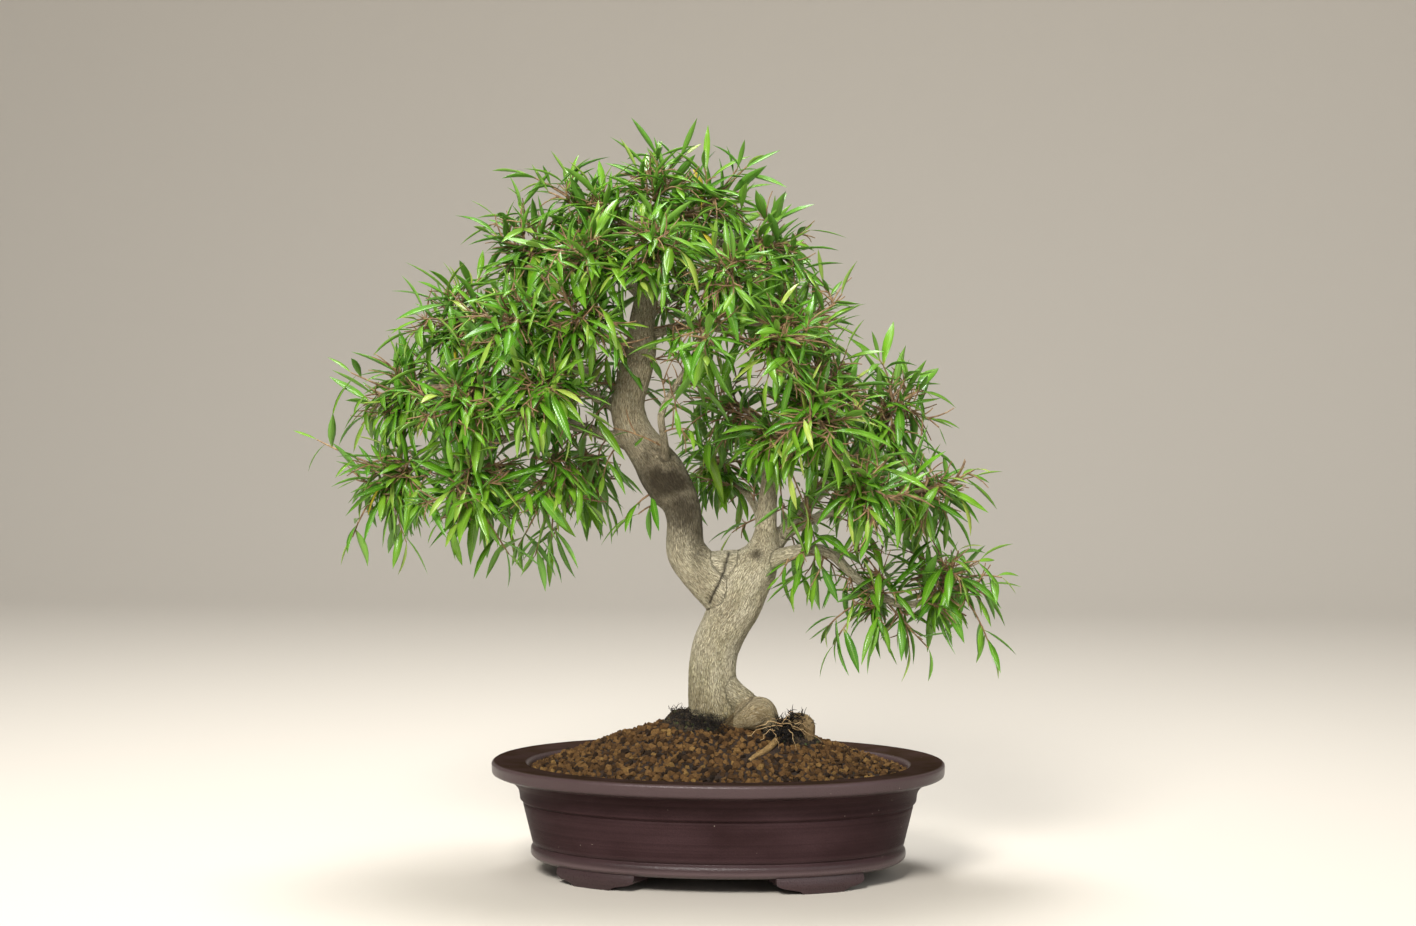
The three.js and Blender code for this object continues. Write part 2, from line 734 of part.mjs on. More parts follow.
// Ways that a side leaf may point, for when the first ones meet something
function* sideLeaves(path, hang, random) {
  const { place, direction } = along(path, SIDE_LEAF_SEAT);
  const side = direction.clone().cross(UP).normalize();
  const other = direction.clone().cross(side);
  const first = random() * 2 * Math.PI;
  const roll = (random() - 0.5) * SIDE_LEAF_ROLL;
  const length = leafLength(random);
  for (let n = 0; n < TRIES; n++) {
    const round = first + n * LEAF_TRY_TURN;
    const open = SIDE_LEAF_OPENING + n * LEAF_TRY_OPENING;
    const way = direction.clone().multiplyScalar(Math.cos(open));
    way.addScaledVector(side, Math.sin(open) * Math.cos(round));
    way.addScaledVector(other, Math.sin(open) * Math.sin(round));
    way.addScaledVector(UP, -hang).normalize();
    yield { root: place, way, face: UP.clone().applyAxisAngle(way, roll), length };
  }
}

// What is already in place, each with its box, so that near things are found quickly
const placed = [];
const boxOf = (body) => body.boundingBox();
const apart = (a, b) => [0, 1, 2].some((i) => a.max[i] < b.min[i] || b.max[i] < a.min[i]);
const settle = (body, owner) => placed.push({ body, box: boxOf(body), owner });
function meets(body, test) {
  const box = boxOf(body);
  return placed.some(
    (other) => test(other) && !apart(box, other.box) && body.intersect(other.body).volume() > TOUCH,
  );
}

// Splits what was cut and keeps the main body, so no loose scrap is left
function mainBody(cut) {
  return cut.decompose().reduce((most, next) => (next.volume() > most.volume() ? next : most));
}

const wood = makeWood();
const woodFat = makeWood(CLEARANCE);
const pot = makePot();
const screens = DRAIN_PLACES.map(makeScreen);
const screenRoom = DRAIN_PLACES.map((x) => {
  const side = SCREEN_SIDE + 2 * GAP;
  const height = SCREEN_THICKNESS + 2 * GAP;
  return block(x, 0, FLOOR_TOP + GAP + SCREEN_THICKNESS / 2, side, side, height);
});
const soil = mainBody(makeSoil(woodFat, join(screenRoom)));
settle(woodFat, "wood");
settle(soil, "soil");
settle(pot, "pot");

// Stems first, then twigs with their end leaves, then side leaves, so that every bough gets its share
const boughs = BOUGHS.map((row, index) => {
  const name = row[0];
  const wholeOutside = (bend) => {
    const fat = solid(stick(stemPath(row, bend), STEM_SIDES, CLEARANCE));
    const pieces = fat.subtract(woodFat).decompose();
    return pieces.length === 1 && !meets(pieces[0], (other) => other.owner !== "wood");
  };
  const stem = stemPath(row, STEM_BENDS.find(wholeOutside) ?? 0);
  const body = solid(stick(stem, STEM_SIDES));
  settle(body, name);
  return { name, row, stem, hang: row[5], bodies: [body], twigs: [], random: seeded(FIRST_SEED + index) };
});

// Clear of every other node, and its blade clear of its own bough too
function fits(fat, bare, name) {
  return !meets(fat, ({ owner }) => owner !== name) && !meets(bare, ({ owner }) => owner === name);
}

function keep(bough, body) {
  bough.bodies.push(body);
  settle(body, bough.name);
}

function growTwig(bough, turn, i) {
  for (let n = 0; n < TRIES; n++) {
    const path = twigPath(bough.row, bough.stem, turn + n * TWIG_TRY_TURN, i);
    const leaf = endLeaf(path, bough.hang, bough.random);
    if (!fits(twigWithLeaf(path, leaf, CLEARANCE), bareLeaf(leaf), bough.name)) continue;
    keep(bough, twigWithLeaf(path, leaf));
    bough.twigs.push(path);
    return;
  }
}

function growSideLeaf(bough, path) {
  for (const leaf of sideLeaves(path, bough.hang, bough.random)) {
    if (!fits(sideLeaf(leaf, CLEARANCE), bareLeaf(leaf), bough.name)) continue;
    keep(bough, sideLeaf(leaf));
    return;
  }
}

for (const bough of boughs) {
  const turn = bough.random() * 2 * Math.PI;
  for (let i = 0; i < TWIGS; i++) growTwig(bough, turn, i);
}
for (const bough of boughs) {
  for (const path of bough.twigs) growSideLeaf(bough, path);
}

const materials = {
  clay: new THREE.MeshStandardMaterial({ color: 0x4a3634, roughness: 0.62, metalness: 0 }),
  grains: new THREE.MeshStandardMaterial({ color: 0x7a4f2c, roughness: 0.95, metalness: 0 }),
  bark: new THREE.MeshStandardMaterial({ color: 0x9a8b76, roughness: 0.85, metalness: 0 }),
  leaf: new THREE.MeshStandardMaterial({ color: 0x4a8a2a, roughness: 0.4, metalness: 0 }),
  mesh: new THREE.MeshStandardMaterial({ color: 0x2b2b2b, roughness: 0.6, metalness: 0 }),
};

const bonsai = new THREE.Group();

function node(name, body, material) {
  const made = body.getMesh();
  const shape = new THREE.BufferGeometry();
  shape.setAttribute("position", new THREE.BufferAttribute(made.vertProperties.slice(), 3));
  shape.setIndex(new THREE.BufferAttribute(made.triVerts.slice(), 1));
  const mesh = new THREE.Mesh(shape, material.clone());
  mesh.name = name;
  bonsai.add(mesh);
}

node("pot", pot, materials.clay);
screens.forEach((screen, i) => node(["drain_screen_left", "drain_screen_right"][i], screen, materials.mesh));
node("soil", soil, materials.grains);
node("trunk", wood, materials.bark);
for (const bough of boughs) {
  node(`bough_${bough.name}`, mainBody(join(bough.bodies).subtract(woodFat)), materials.leaf);
}

// The origin goes under the middle of the box round the whole object
const box = new THREE.Box3().setFromObject(bonsai, true);
bonsai.position.set(-(box.min.x + box.max.x) / 2, -(box.min.y + box.max.y) / 2, -box.min.z);

export default bonsai;
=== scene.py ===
import math

import bmesh
import bpy
import numpy as np
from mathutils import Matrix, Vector, noise


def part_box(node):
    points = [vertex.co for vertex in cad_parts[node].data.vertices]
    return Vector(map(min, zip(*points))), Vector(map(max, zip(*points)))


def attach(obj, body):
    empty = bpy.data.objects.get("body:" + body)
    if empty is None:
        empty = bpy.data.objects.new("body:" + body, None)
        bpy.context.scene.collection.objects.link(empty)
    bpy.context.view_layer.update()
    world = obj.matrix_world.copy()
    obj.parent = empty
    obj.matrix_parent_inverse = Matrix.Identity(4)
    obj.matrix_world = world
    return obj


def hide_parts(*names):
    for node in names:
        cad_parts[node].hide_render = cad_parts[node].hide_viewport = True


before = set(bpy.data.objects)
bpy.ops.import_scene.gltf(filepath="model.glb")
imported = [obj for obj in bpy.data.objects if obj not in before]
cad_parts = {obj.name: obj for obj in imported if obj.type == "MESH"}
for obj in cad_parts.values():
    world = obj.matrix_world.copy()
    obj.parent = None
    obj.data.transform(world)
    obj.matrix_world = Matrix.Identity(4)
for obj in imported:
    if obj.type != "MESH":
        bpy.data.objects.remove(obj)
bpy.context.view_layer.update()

# Sizes below are millimetres from the middle of the pot, as in the solids' source.
# They become metres when a mesh is made.
MM = 0.001
pot_low, pot_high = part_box("pot")
POT_MIDDLE = Vector(((pot_low.x + pot_high.x) / 2, (pot_low.y + pot_high.y) / 2, pot_low.z))
UP = Vector((0, 0, 1))
GOLDEN_ANGLE = math.radians(137.5)

# Camera, level with the crown and a little to the right of the pot's front
CAMERA_PLACE = (274.9, -2610.6, 483)
CAMERA_AZIMUTH = 0.108  # radians to the left of the pot's straight front
CAMERA_DIP = 0.053  # radians, downwards
CAMERA_REACH = 100  # metres
SENSOR_WIDTH = 36
PHOTO_WIDTH = 1416
PHOTO_FOCUS = 3157  # in the photo's pixels

# Floor that bends up into a wall, and lamps, in metres
FLOOR_HALF_WIDTH = 8
FLOOR_FRONT = -6
BEND_START = 2.2
BEND_RADIUS = 1.2
BEND_STEPS = 16
FIRST_BEND = 0.1  # radians
WALL_TOP = 6
SKY_COLOUR = (1.0, 0.98, 0.95, 1)
SKY_STRENGTH = 0.33
# Place, what it looks at, size, watts, colour
LAMPS = {
    "key": ((-0.4, -2.4, 1.95), (0, 0, 0.3), 0.9, 116, (1, 0.97, 0.92)),
    "fill": ((2.1, -1.7, 1.2), (0, 0, 0.3), 1.6, 16, (0.95, 0.98, 1)),
    "top": ((-0.2, 0.5, 2.2), (0, 0, 0.4), 1.0, 56, (1, 1, 1)),
}

# Pot, by its rim
RIM_HALF_LENGTH = 190
RIM_HALF_WIDTH = 140
RIM_SQUARENESS = 2.1
POT_SIDES = 192
POT_SHARP_EDGE = 35  # degrees, past which an edge shows
FILLET_STEPS = 5
FILLET_SHARE = 0.48  # of the shorter stretch beside a corner, at most
FLOOR_UNDERSIDE = 13
FLOOR_TOP = 22
# Section from the underside out, up to the rim and down the inside: inset from the rim, height, rounding
POT_SECTION = [
    (48, FLOOR_UNDERSIDE, 0.5), (37.6, FLOOR_UNDERSIDE, 1.2), (35.2, 14.2, 1.0), (32.6, 16.6, 2.4),
    (32.9, 22.4, 2.6), (35.6, 25.0, 0.7), (34.2, 26.4, 0.6), (26.4, 58.6, 0.8), (26.9, 60.3, 0.4),
    (25.6, 61.6, 0.5), (23.9, 62.6, 0.9), (22.9, 72, 9), (14.6, 80, 6), (3.2, 83.3, 1.6), (0.5, 84.8, 1.2),
    (0.2, 93.4, 1.5), (2.8, 95.2, 1.3), (14, 94.1, 14), (28.6, 93.4, 1.8), (31.2, 91, 2.2), (33, 80, 6),
    (41, 29, 6), (48, FLOOR_TOP, 3),
]
FOOT_ANGLES = [52.5, 127.5, 232.5, 307.5]
FOOT_HALF_ANGLE = 16.5
FOOT_INSET = 34.8
FOOT_DEPTH = 26
FOOT_TURNS = 14
# Height, share of the foot's full length, how far its face leans back
FOOT_LEVELS = [
    (0, 0.45, 1.6), (0.5, 0.47, 1), (1.6, 0.49, 0.8), (2.4, 0.53, 0.7), (3.2, 0.61, 0.6), (4.2, 0.75, 0.4),
    (5.4, 0.88, 0.2), (6.6, 0.95, 0), (8, 0.985, 0), (10, 1, 0.2), (11.6, 1, 0.6), (14.2, 1, 1.4),
]
DRAIN_PLACES = [-75, 75]
DRAIN_RADIUS = 11
DRAIN_SIDES = 48
DRAIN_CUT = (2, FLOOR_TOP + 5)  # heights that the cut runs between

# Soil mound
SOIL_GAP = 0.3
SOIL_EDGE = 86.4
SOIL_EDGE_INSET = 32.4
MOUND_RISE = 47
MOUND_ROUNDNESS = 1.3
MOUND_TOP_X = -8
SOIL_RINGS = 30
SOIL_SIDES = 120
SOIL_LUMP = 1.5
SOIL_LUMP_SIZE = 26
SOIL_LUMP_FADE = 4  # times the share that is left to the edge
HALVINGS = 30
SHARES_TRIED = (0.001, 1.5)  # of the way from the mound's top to its edge
SOIL_WALL = [(40.7, 29), (47.7, FLOOR_TOP + SOIL_GAP)]  # inset from the rim and height, inside the pot
TRUNK_FOOT_X = -2
TRUNK_FOOT_RADIUS = 18  # no granules are nearer to the trunk's foot
TRUNK_FOOT_EDGE = 3
# Granules
GRAIN_SPACING = 4.3
GRAIN_DENSITY = 2e6  # a square metre, before the spacing thins them
GRAIN_SIZE = 5.9
GRAIN_SMALLEST = 0.43  # share of that size
GRAIN_SIZE_RANGE = 0.3  # what the biggest add to that share
GRAIN_RARITY = 2.2  # the higher, the fewer are big
GRAIN_CORNERS = 14
GRAIN_TURN = 6.28  # radians, about a whole turn
GRAIN_SHAPES = [
    (1, 1, 0.9), (1.15, 0.9, 0.85), (0.95, 1.1, 1), (1.2, 1, 0.75), (0.9, 0.95, 1.05), (1.05, 0.85, 0.95),
]
GRAIN_SEED = 5
GRAIN_SHAPE_SEED = 40
GRAIN_TURN_SEED = 61
GRAIN_SIZE_SEED = 62
GRAIN_PICK_SEED = 63
GRAIN_TONE_SEED = 64

# Heaps of humus: x, y, half length, half width, height over the mound
HUMUS_HEAPS = [
    (-14, -15, 26, 22, 7), (-33, -4, 14, 14, 8), (-22, 14, 26, 18, 7), (16, 18, 30, 18, 6),
    (60, -6, 20, 17, 7), (50, -26, 13, 9, 3), (68, -22, 13, 12, 5), (77, -9, 14, 14, 5),
]
HEAP_RINGS = 8
HEAP_SIDES = 28
HEAP_SKIRT = 5  # how deep its edge goes into the soil
HEAP_SINK = 2
HEAP_ROUNDNESS = 0.8
HEAP_LUMP = 2.2
HEAP_LUMP_SIZE = 7
HEAP_COVER = 0.95  # share of a heap's size within which it hides the granules
HEAP_COVER_EDGE = 0.12
ROOT_COVER = 2.4  # how far round the surface root no granules lie
ROOT_COVER_EDGE = 1.5
CRUMB_SPACING = 1.9
CRUMB_SIZE = 3.2
CRUMBS_FROM = -2.5  # height over the mound
CRUMBS_EDGE = 2
# Moss and dark fibres: place, spread, how many, length and root radius of each
TUFTS = [
    ((-30, -14, 140), 10, 70, 5, 0.35), ((-18, -28, 137), 10, 110, 5, 0.35),
    ((-2, -32, 136), 10, 110, 5, 0.35), ((6, -34, 132), 6, 60, 4, 0.3),
    ((50, -32, 127), 7, 70, 7, 0.42), ((60, -24, 134), 9, 130, 8, 0.5),
    ((66, -20, 139), 8, 90, 7, 0.55), ((76, -16, 132), 6, 40, 6, 0.45),
    ((60, -34, 124), 8, 60, 7, 0.4),
]
TUFT_SEED = 900
TUFT_FLATNESS = 0.7  # spread to the front, as a share of the spread to the side
FIBRE_BOW = 0.5
FIBRE_TIP = 0.3
FIBRE_STEPS = 3
FIBRE_SIDES = 3
FIBRE_REACH = (0.6, 1.4)  # shares of the length
# Fine pale roots over the litter: from, to, radius
FINE_ROOTS = [
    ((60, -30, 130), (36, -38, 128), 0.43), ((57, -32, 128), (28, -44, 121), 0.37),
    ((64, -28, 132), (44, -34, 132), 0.31), ((52, -36, 126), (40, -46, 118), 0.31),
    ((58, -30, 131), (76, -34, 121), 0.31), ((66, -30, 126), (90, -24, 114), 0.25),
    ((62, -34, 126), (70, -48, 112), 0.28), ((56, -32, 130), (66, -28, 140), 0.28),
    ((48, -34, 127), (56, -50, 113), 0.25), ((66, -28, 130), (80, -26, 124), 0.25),
]
FINE_ROOT_STEPS = 7
FINE_ROOT_RISE = 3
FINE_ROOT_TAPER = 0.6
ROOT_WOBBLE = 2.2
FINE_ROOT_SMOOTHING = 3
FINE_ROOT_SIDES = 5

# Tree wood: each path is rows of x, y, z, radius
TRUNK = [
    (1, 0, 102, 25), (0, 0, 118, 24.5), (-2, 0, 135, 23), (-4, 0, 154, 21), (-4, 0, 175, 19.5),
    (-1, 0, 192, 19.5), (6, 0, 208, 20), (15, 0, 225, 21.5), (24, 0, 244, 21), (32, 1, 259, 19),
    (38, 2, 272, 14), (40, 1, 288, 9.5), (41, 0, 305, 8.5), (43, -2, 322, 7.5), (48, -6, 355, 6.2),
    (60, -12, 388, 4.6), (73, -20, 417, 3),
]
LEADER = [
    (18, 0, 214, 13), (8, -1, 230, 17.5), (-5, -2, 244, 18.3), (-17, -3, 257, 17.6), (-26, -3, 270, 16.6),
    (-27.5, -2, 283, 15.5), (-28, -2, 297, 15.2), (-31.5, -1, 311, 16), (-40, 0, 324, 18.6),
    (-48, 0, 337, 19), (-59, 0, 353, 16.4), (-70, -1, 370, 15), (-75, -2, 388, 14.2), (-73, -2, 404, 13.8),
    (-68, -1, 422, 14), (-64, 0, 438, 12.4), (-64, 1, 455, 11.2), (-61, 2, 480, 9.2), (-56, 2, 508, 6.8),
    (-52, 0, 532, 4.6), (-50, -3, 550, 2.8),
]
SADDLE = [(-18, -2, 255, 14), (4, 0, 255.5, 16), (26, 1, 256, 15)]
LIMBS = {
    "low_left": [
        (-62, 0, 352, 7), (-88, -4, 365, 5.4), (-136, -12, 377, 4.2), (-175, -16, 364, 3.5),
        (-215, -17, 350, 2.8), (-245, -15, 338, 2.2),
    ],
    "mid_left": [
        (-73, 0, 384, 6), (-91, -4, 393, 4.8), (-112, -10, 404, 4), (-145, -12, 413, 3.5),
        (-183, -8, 413, 3), (-228, 2, 406, 2.2),
    ],
    "back_left": [(-74, 0, 400, 6), (-98, 38, 410, 4.4), (-122, 78, 419, 3.4), (-146, 104, 424, 2.4)],
    "high_left": [
        (-63, 0, 434, 6), (-91, 5, 447, 4.4), (-122, 5, 458, 3.6), (-158, 0, 462, 3), (-192, -5, 461, 2.2),
    ],
    "shoulder_left": [(-61, 0, 480, 5), (-86, 1, 501, 3.6), (-116, 1, 515, 2.9), (-140, 0, 524, 2.2)],
    "thin_front": [
        (-44, -4, 338, 6), (-42, -22, 362, 3.6), (-43, -36, 384, 3.2), (-34, -48, 402, 2.8),
        (-17, -62, 428, 2.3), (-6, -68, 448, 2),
    ],
    "high_right": [
        (-63, 0, 448, 6), (-42, 5, 455, 4.4), (-16, 8, 459, 4.6), (10, 5, 455, 3.6), (39, 0, 462, 2.8),
        (63, -5, 464, 2.2),
    ],
    "back_right": [(-63, 0, 455, 6), (-54, 36, 474, 4), (-30, 66, 488, 3), (2, 80, 492, 2.2)],
    "shoulder_right": [(-57, 1, 508, 4.6), (-32, 4, 520, 3.4), (-3, 4, 526, 2.8), (20, 1, 530, 2.2)],
    "second": [
        (36, 2, 266, 11), (52, 8, 282, 7.4), (65, 13, 299, 6), (88, 18, 322, 4.6), (114, 16, 350, 3.6),
        (138, 12, 374, 2.4),
    ],
    "outer": [
        (52, 8, 283, 6), (76, -6, 296, 4.4), (104, -24, 307, 3.6), (132, -30, 314, 3), (160, -26, 320, 2.2),
    ],
    "low_right": [
        (36, -2, 258, 10), (60, -8, 269, 6.6), (79, -12, 273, 5.4), (96, -16, 270, 4.8),
        (110, -18, 257, 4.2), (132, -17, 238, 3.7), (157, -12, 228, 3.2), (184, -3, 234, 2.2),
    ],
    "back": [(38, 4, 278, 8), (32, 34, 298, 4.4), (17, 62, 316, 3.4), (0, 82, 326, 2.4)],
}
ROOTS = [
    [(2, -2, 160, 14), (14, -6, 150, 12), (26, -10, 143, 10.5), (37, -12, 136, 8), (45, -13, 122, 5)],
    [
        (9, -22, 126, 3), (17, -22, 129, 6.5), (28, -21, 134.5, 12), (38, -19.5, 137.5, 13.5),
        (46, -17.5, 128, 8.5), (50, -16, 113, 5),
    ],
    [
        (46, -6, 124, 5), (55, -12, 121.5, 3.2), (54.5, -24, 119.2, 3.2), (52, -36, 116.8, 3.1),
        (48.5, -47, 113.6, 3), (44.6, -54.5, 111, 2.8), (39.5, -61, 108.8, 2.5), (34.4, -67.5, 106, 2.1),
        (30, -72, 101, 1.6),
    ],
    [
        (50, -12, 122, 5), (59, -13, 126, 6), (67, -14, 129, 8.6), (75, -14, 127.5, 7.6),
        (77, -14, 118, 5.5), (77, -14, 106, 3.5),
    ],
    [(2, 8, 138, 12), (26, 26, 126, 8), (48, 40, 112, 5), (66, 50, 96, 3)],
    [(-8, 4, 138, 13), (-28, 16, 125, 8), (-48, 26, 112, 5), (-68, 34, 96, 3)],
    [(-6, -6, 136, 13), (-24, -20, 121, 8), (-38, -34, 106, 5), (-52, -46, 90, 3)],
]
WOOD_STEPS = 8  # between two stations
WOOD_SIDES = 20
SKIN_VOXEL = 1.4
SKIN_SMOOTHING = 4  # times
SKIN_EASING = 0.5
# Relief of the bark: height, size across the grain, size along it
BARK_RELIEF = [(0.9, 15, 34), (0.42, 4.2, 20), (0.2, 1.9, 6)]
FULL_RELIEF_RADIUS = 14  # of wood that has the whole of it
RELIEF_LIMITS = (0.12, 1.25)  # on the thinnest and the fattest wood
WOOD_SLACK = 0.6  # a point this far off a path's wood still counts as on it
WOOD_EDGE = 1.2
RUN_APART = 700  # between the grain of two paths
POINTS_AT_ONCE = 4000
# Creases, cut into the wood and darkened with painted shade: a line of x and height on the front of the
# wood, half width, depth
CREASES = [
    ([(10.5, 273.5), (8.6, 259.6), (3.2, 244.6), (-3.5, 232.8), (-6.1, 226.8)], 1.2, 1.6),
    ([(34, 153), (27, 147), (20, 140), (14, 133), (10, 128)], 0.8, 0.8),
]
CREASE_WOBBLE = 1.6
CREASE_WOBBLE_SIZE = 6
CREASE_FRONT = -4  # y, in front of which the wood has them
# How dark the painted shade in a crease is
CREASE_SHADE = 0.95
DEEPEST_CREASE = 1.6  # a shallower one is paler
# Stains on the wood, and painted shade low on the leader under the knuckle, where the crown shades it: x,
# height, half length and half height of each, and how dark it is
STAINS_AND_SHADE = [
    (-43, 328, 50, 29, 0.95), (-52, 344, 22, 16, 0.6), (-36, 344, 20, 16, 0.6), (-27, 306, 30, 34, 0.9),
    (-15, 296, 15, 38, 0.75), (34, 269, 6, 5, 0.8), (-30, 290, 22, 26, 0.5), (-42, 330, 58, 46, 0.56),
]
STAIN_AND_SHADE_REACH = 1.2
STAIN_AND_SHADE_RAGGEDNESS = 0.15
RAGGED_SIZES = (9, 2.5)  # of the waves in a stain's edge
FINE_RAGGEDNESS = 0.7  # of the smaller waves, as a share of the bigger
STAIN_AND_SHADE_EDGE = 0.95
FOOT_STAIN = 0.8
FOOT_STAIN_TOP = 139
FOOT_STAIN_RAGGEDNESS = 6
FOOT_STAIN_EDGE = 7
FOOT_STAIN_RIGHT = 16  # x that it ends at
DROP_ROOT = ROOTS[1]
SURFACE_ROOT = ROOTS[2]
LUMP_ROOT = ROOTS[3]
LUMP_STAIN = (0.3, 0.85)
# Wood with a tan skin, and how tan it is
TANNED = [(SURFACE_ROOT[1:], 0.85), (DROP_ROOT[:5], 0.2), (LUMP_ROOT[1:], 0.45)]

# Leafy boughs: name, limb, share of the way along it, middle of the leaf mass, its radius,
# hang from -1 to 1
BOUGHS = [
    ("left_low_tip", "low_left", 1, (-272, -15, 334), 50, 0.62),
    ("left_low_front", "low_left", 0.72, (-198, -80, 326), 50, 0.68),
    ("left_low_back", "low_left", 0.66, (-205, 72, 316), 50, 0.65),
    ("left_low_inner", "low_left", 0.36, (-128, -62, 331), 44, 0.6),
    ("left_low_inner_back", "low_left", 0.25, (-122, 74, 330), 44, 0.6),
    ("left_mid_tip", "mid_left", 1, (-274, 12, 398), 50, 0.35),
    ("left_mid_front", "mid_left", 0.7, (-204, -98, 392), 50, 0.42),
    ("left_mid_back", "mid_left", 0.74, (-226, 94, 395), 50, 0.42),
    ("left_mid_inner", "mid_left", 0.32, (-134, -108, 400), 47, 0.38),
    ("left_mid_inner_back", "back_left", 1, (-156, 126, 408), 48, 0.45),
    ("left_high_tip", "high_left", 1, (-224, -10, 458), 50, 0.12),
    ("left_high_front", "high_left", 0.7, (-162, -84, 458), 50, 0.15),
    ("left_high_back", "high_left", 0.72, (-178, 84, 464), 50, 0.15),
    ("left_high_inner", "high_left", 0.3, (-105, -90, 462), 45, 0.12),
    ("shoulder_left", "shoulder_left", 1, (-162, 0, 520), 50, -0.1),
    ("shoulder_left_front", "shoulder_left", 0.42, (-102, -76, 512), 48, 0),
    ("shoulder_left_back", "shoulder_left", 0.5, (-116, 80, 514), 48, 0),
    ("crown_left", "LEADER", 0.93, (-110, -8, 550), 48, -0.32),
    ("crown_top", "LEADER", 1, (-50, -6, 569), 44, -0.45),
    ("crown_right", "LEADER", 0.95, (-4, 6, 556), 46, -0.35),
    ("crown_front", "LEADER", 0.84, (-46, -78, 522), 47, -0.1),
    ("crown_back", "LEADER", 0.86, (-42, 82, 524), 47, -0.1),
    ("shoulder_right", "shoulder_right", 1, (44, 2, 520), 47, -0.12),
    ("shoulder_right_front", "shoulder_right", 0.62, (20, -76, 492), 47, 0.02),
    ("shoulder_right_back", "back_right", 1, (30, 90, 486), 48, 0.02),
    ("right_high_tip", "high_right", 1, (80, -6, 458), 46, 0.12),
    ("right_high_front", "high_right", 0.72, (62, -92, 440), 47, 0.25),
    ("heart_front", "thin_front", 1, (-2, -96, 452), 38, 0.2),
    ("right_mid", "TRUNK", 1, (100, -34, 408), 46, 0.25),
    ("right_mid_front", "TRUNK", 0.9, (94, -98, 376), 47, 0.42),
    ("right_mid_back", "second", 0.62, (80, 92, 398), 47, 0.4),
    ("right_mid_tip", "second", 1, (146, 12, 390), 47, 0.25),
    ("right_low_front", "outer", 0.6, (130, -84, 328), 47, 0.5),
    ("right_low_tip", "outer", 1, (178, -18, 324), 46, 0.42),
    ("right_low_back", "second", 0.42, (122, 84, 326), 47, 0.5),
    ("right_hang_tip", "low_right", 0.98, (192, 8, 246), 43, 0.6),
    ("right_hang", "low_right", 0.74, (138, -14, 236), 38, 0.7),
    ("heart_middle", "TRUNK", 0.8, (2, 34, 392), 42, 0.35),
    ("heart_right", "TRUNK", 0.8, (52, -52, 368), 40, 0.42),
    ("heart_back", "back", 1, (-6, 92, 342), 46, 0.5),
]
STEM_ROOT_RADIUS = 2.6
STEM_TIP_RADIUS = 1.5
STEM_STEPS = 8
STEM_BOW_ALONG = 0.12
STEM_BOW_UP = 0.14
TREE_HEART_X = -25
TREE_HEART_HEIGHT = 420
HEART_BELOW_BOUGH = 30
FIRST_SEED = 100
FIRST_LIMB_SEED = 400

# Shoots of a bough, spread over most of a ball round its outward line
SHOOTS = 13
USUAL_RADIUS = 48
SHOOT_SPREAD = 152  # degrees, of the outermost
SHOOT_REACH = (0.4, 0.9)  # shares of the bough's radius
INWARD_SHORTENING = 0.35
SHOOT_SEATS = (0.3, 1.0)  # shares of the stem
SEAT_SPREAD = (0.7, 1.0)
SHOOT_RADIUS = (1.15, 0.55)
SHOOT_STEPS = 5
SHOOT_HANG = 0.3
SHOOT_CREST = 0.45  # share of the way to its tip
SHOOT_BOW_ALONG = 0.16
SHOOT_BOW_UP = 0.14
SHOOT_BOW_LOST = 0.1  # by a shoot that hangs
SIDE_SHOOTS = 1.25
SIDE_SHOOT_SEATS = (0.25, 0.75)
SIDE_SHOOT_LENGTH = (0.4, 0.75)
SIDE_SHOOT_OPENING = (35, 70)  # degrees
SHORT_SHOOT_RADIUS = (SHOOT_RADIUS[0] * 0.75, SHOOT_RADIUS[1] * 0.9)
SHORT_SHOOT_BOW = 0.12
# Thin leafless twigs off the shoots
BARE_TWIGS = 2.9  # a shoot
TWIGGY_FROM_X = 50
TWIGGY_SIDE = 1.7  # times as many there
BARE_TWIG_SEATS = (0.1, 0.8)
BARE_TWIG_LENGTH = (9, 27)
BARE_TWIG_RADIUS = (0.75, 0.4)
BARE_TWIG_STEPS = 3
BARE_TWIG_BOW = 0.15
# Short shoots straight off the limbs, inside the crown
LIMB_SHOOT_GAP = 15
LIMB_SHOOT_SHARES = (0.17, 0.97)
LIMB_SHOOT_LENGTH = (22, 48)
LIMB_SHOOT_OPENING = (45, 85)
LIMB_SHOOT_HANG = 0.25
BARE_HEIGHT = 372  # of the trunk and the leader
# Shoots that stick out of a bough: x, height and leaves of the tip
STRAY_SHOOTS = {
    "left_low_tip": [(-338, 362, 3), (-308, 280, 4), (-262, 276, 4)],
    "left_low_front": [(-168, 270, 5)],
    "left_low_inner": [(-148, 268, 6), (-162, 276, 6), (-134, 284, 5)],
    "left_low_inner_back": [(-150, 270, 6)],
    "left_mid_tip": [(-270, 424, 4), (-302, 390, 3), (-312, 418, 3)],
    "right_hang_tip": [
        (236, 250, 4), (226, 194, 6), (156, 272, 6), (174, 286, 6), (200, 272, 6), (218, 264, 5),
    ],
    "right_hang": [
        (176, 192, 2), (136, 206, 4), (98, 194, 5), (92, 208, 5), (118, 264, 6), (140, 282, 6),
        (100, 252, 5),
    ],
    "heart_middle": [(-26, 374, 6), (-12, 352, 6)],
    "heart_back": [(-22, 330, 6), (-40, 318, 5)],
    "heart_right": [(58, 300, 5), (74, 314, 5)],
    "left_high_tip": [(-218, 487, 6), (-198, 498, 5)],
    "right_mid_tip": [(134, 430, 6), (156, 416, 6), (170, 404, 5)],
    "crown_top": [(-50, 600, 5), (-28, 598, 4)],
    "crown_left": [(-124, 580, 4), (-142, 576, 5), (-160, 584, 2)],
    "shoulder_left": [(-164, 560, 4)],
    "crown_right": [(16, 588, 4), (24, 590, 4)],
    "shoulder_right": [(66, 518, 5), (82, 488, 4)],
}
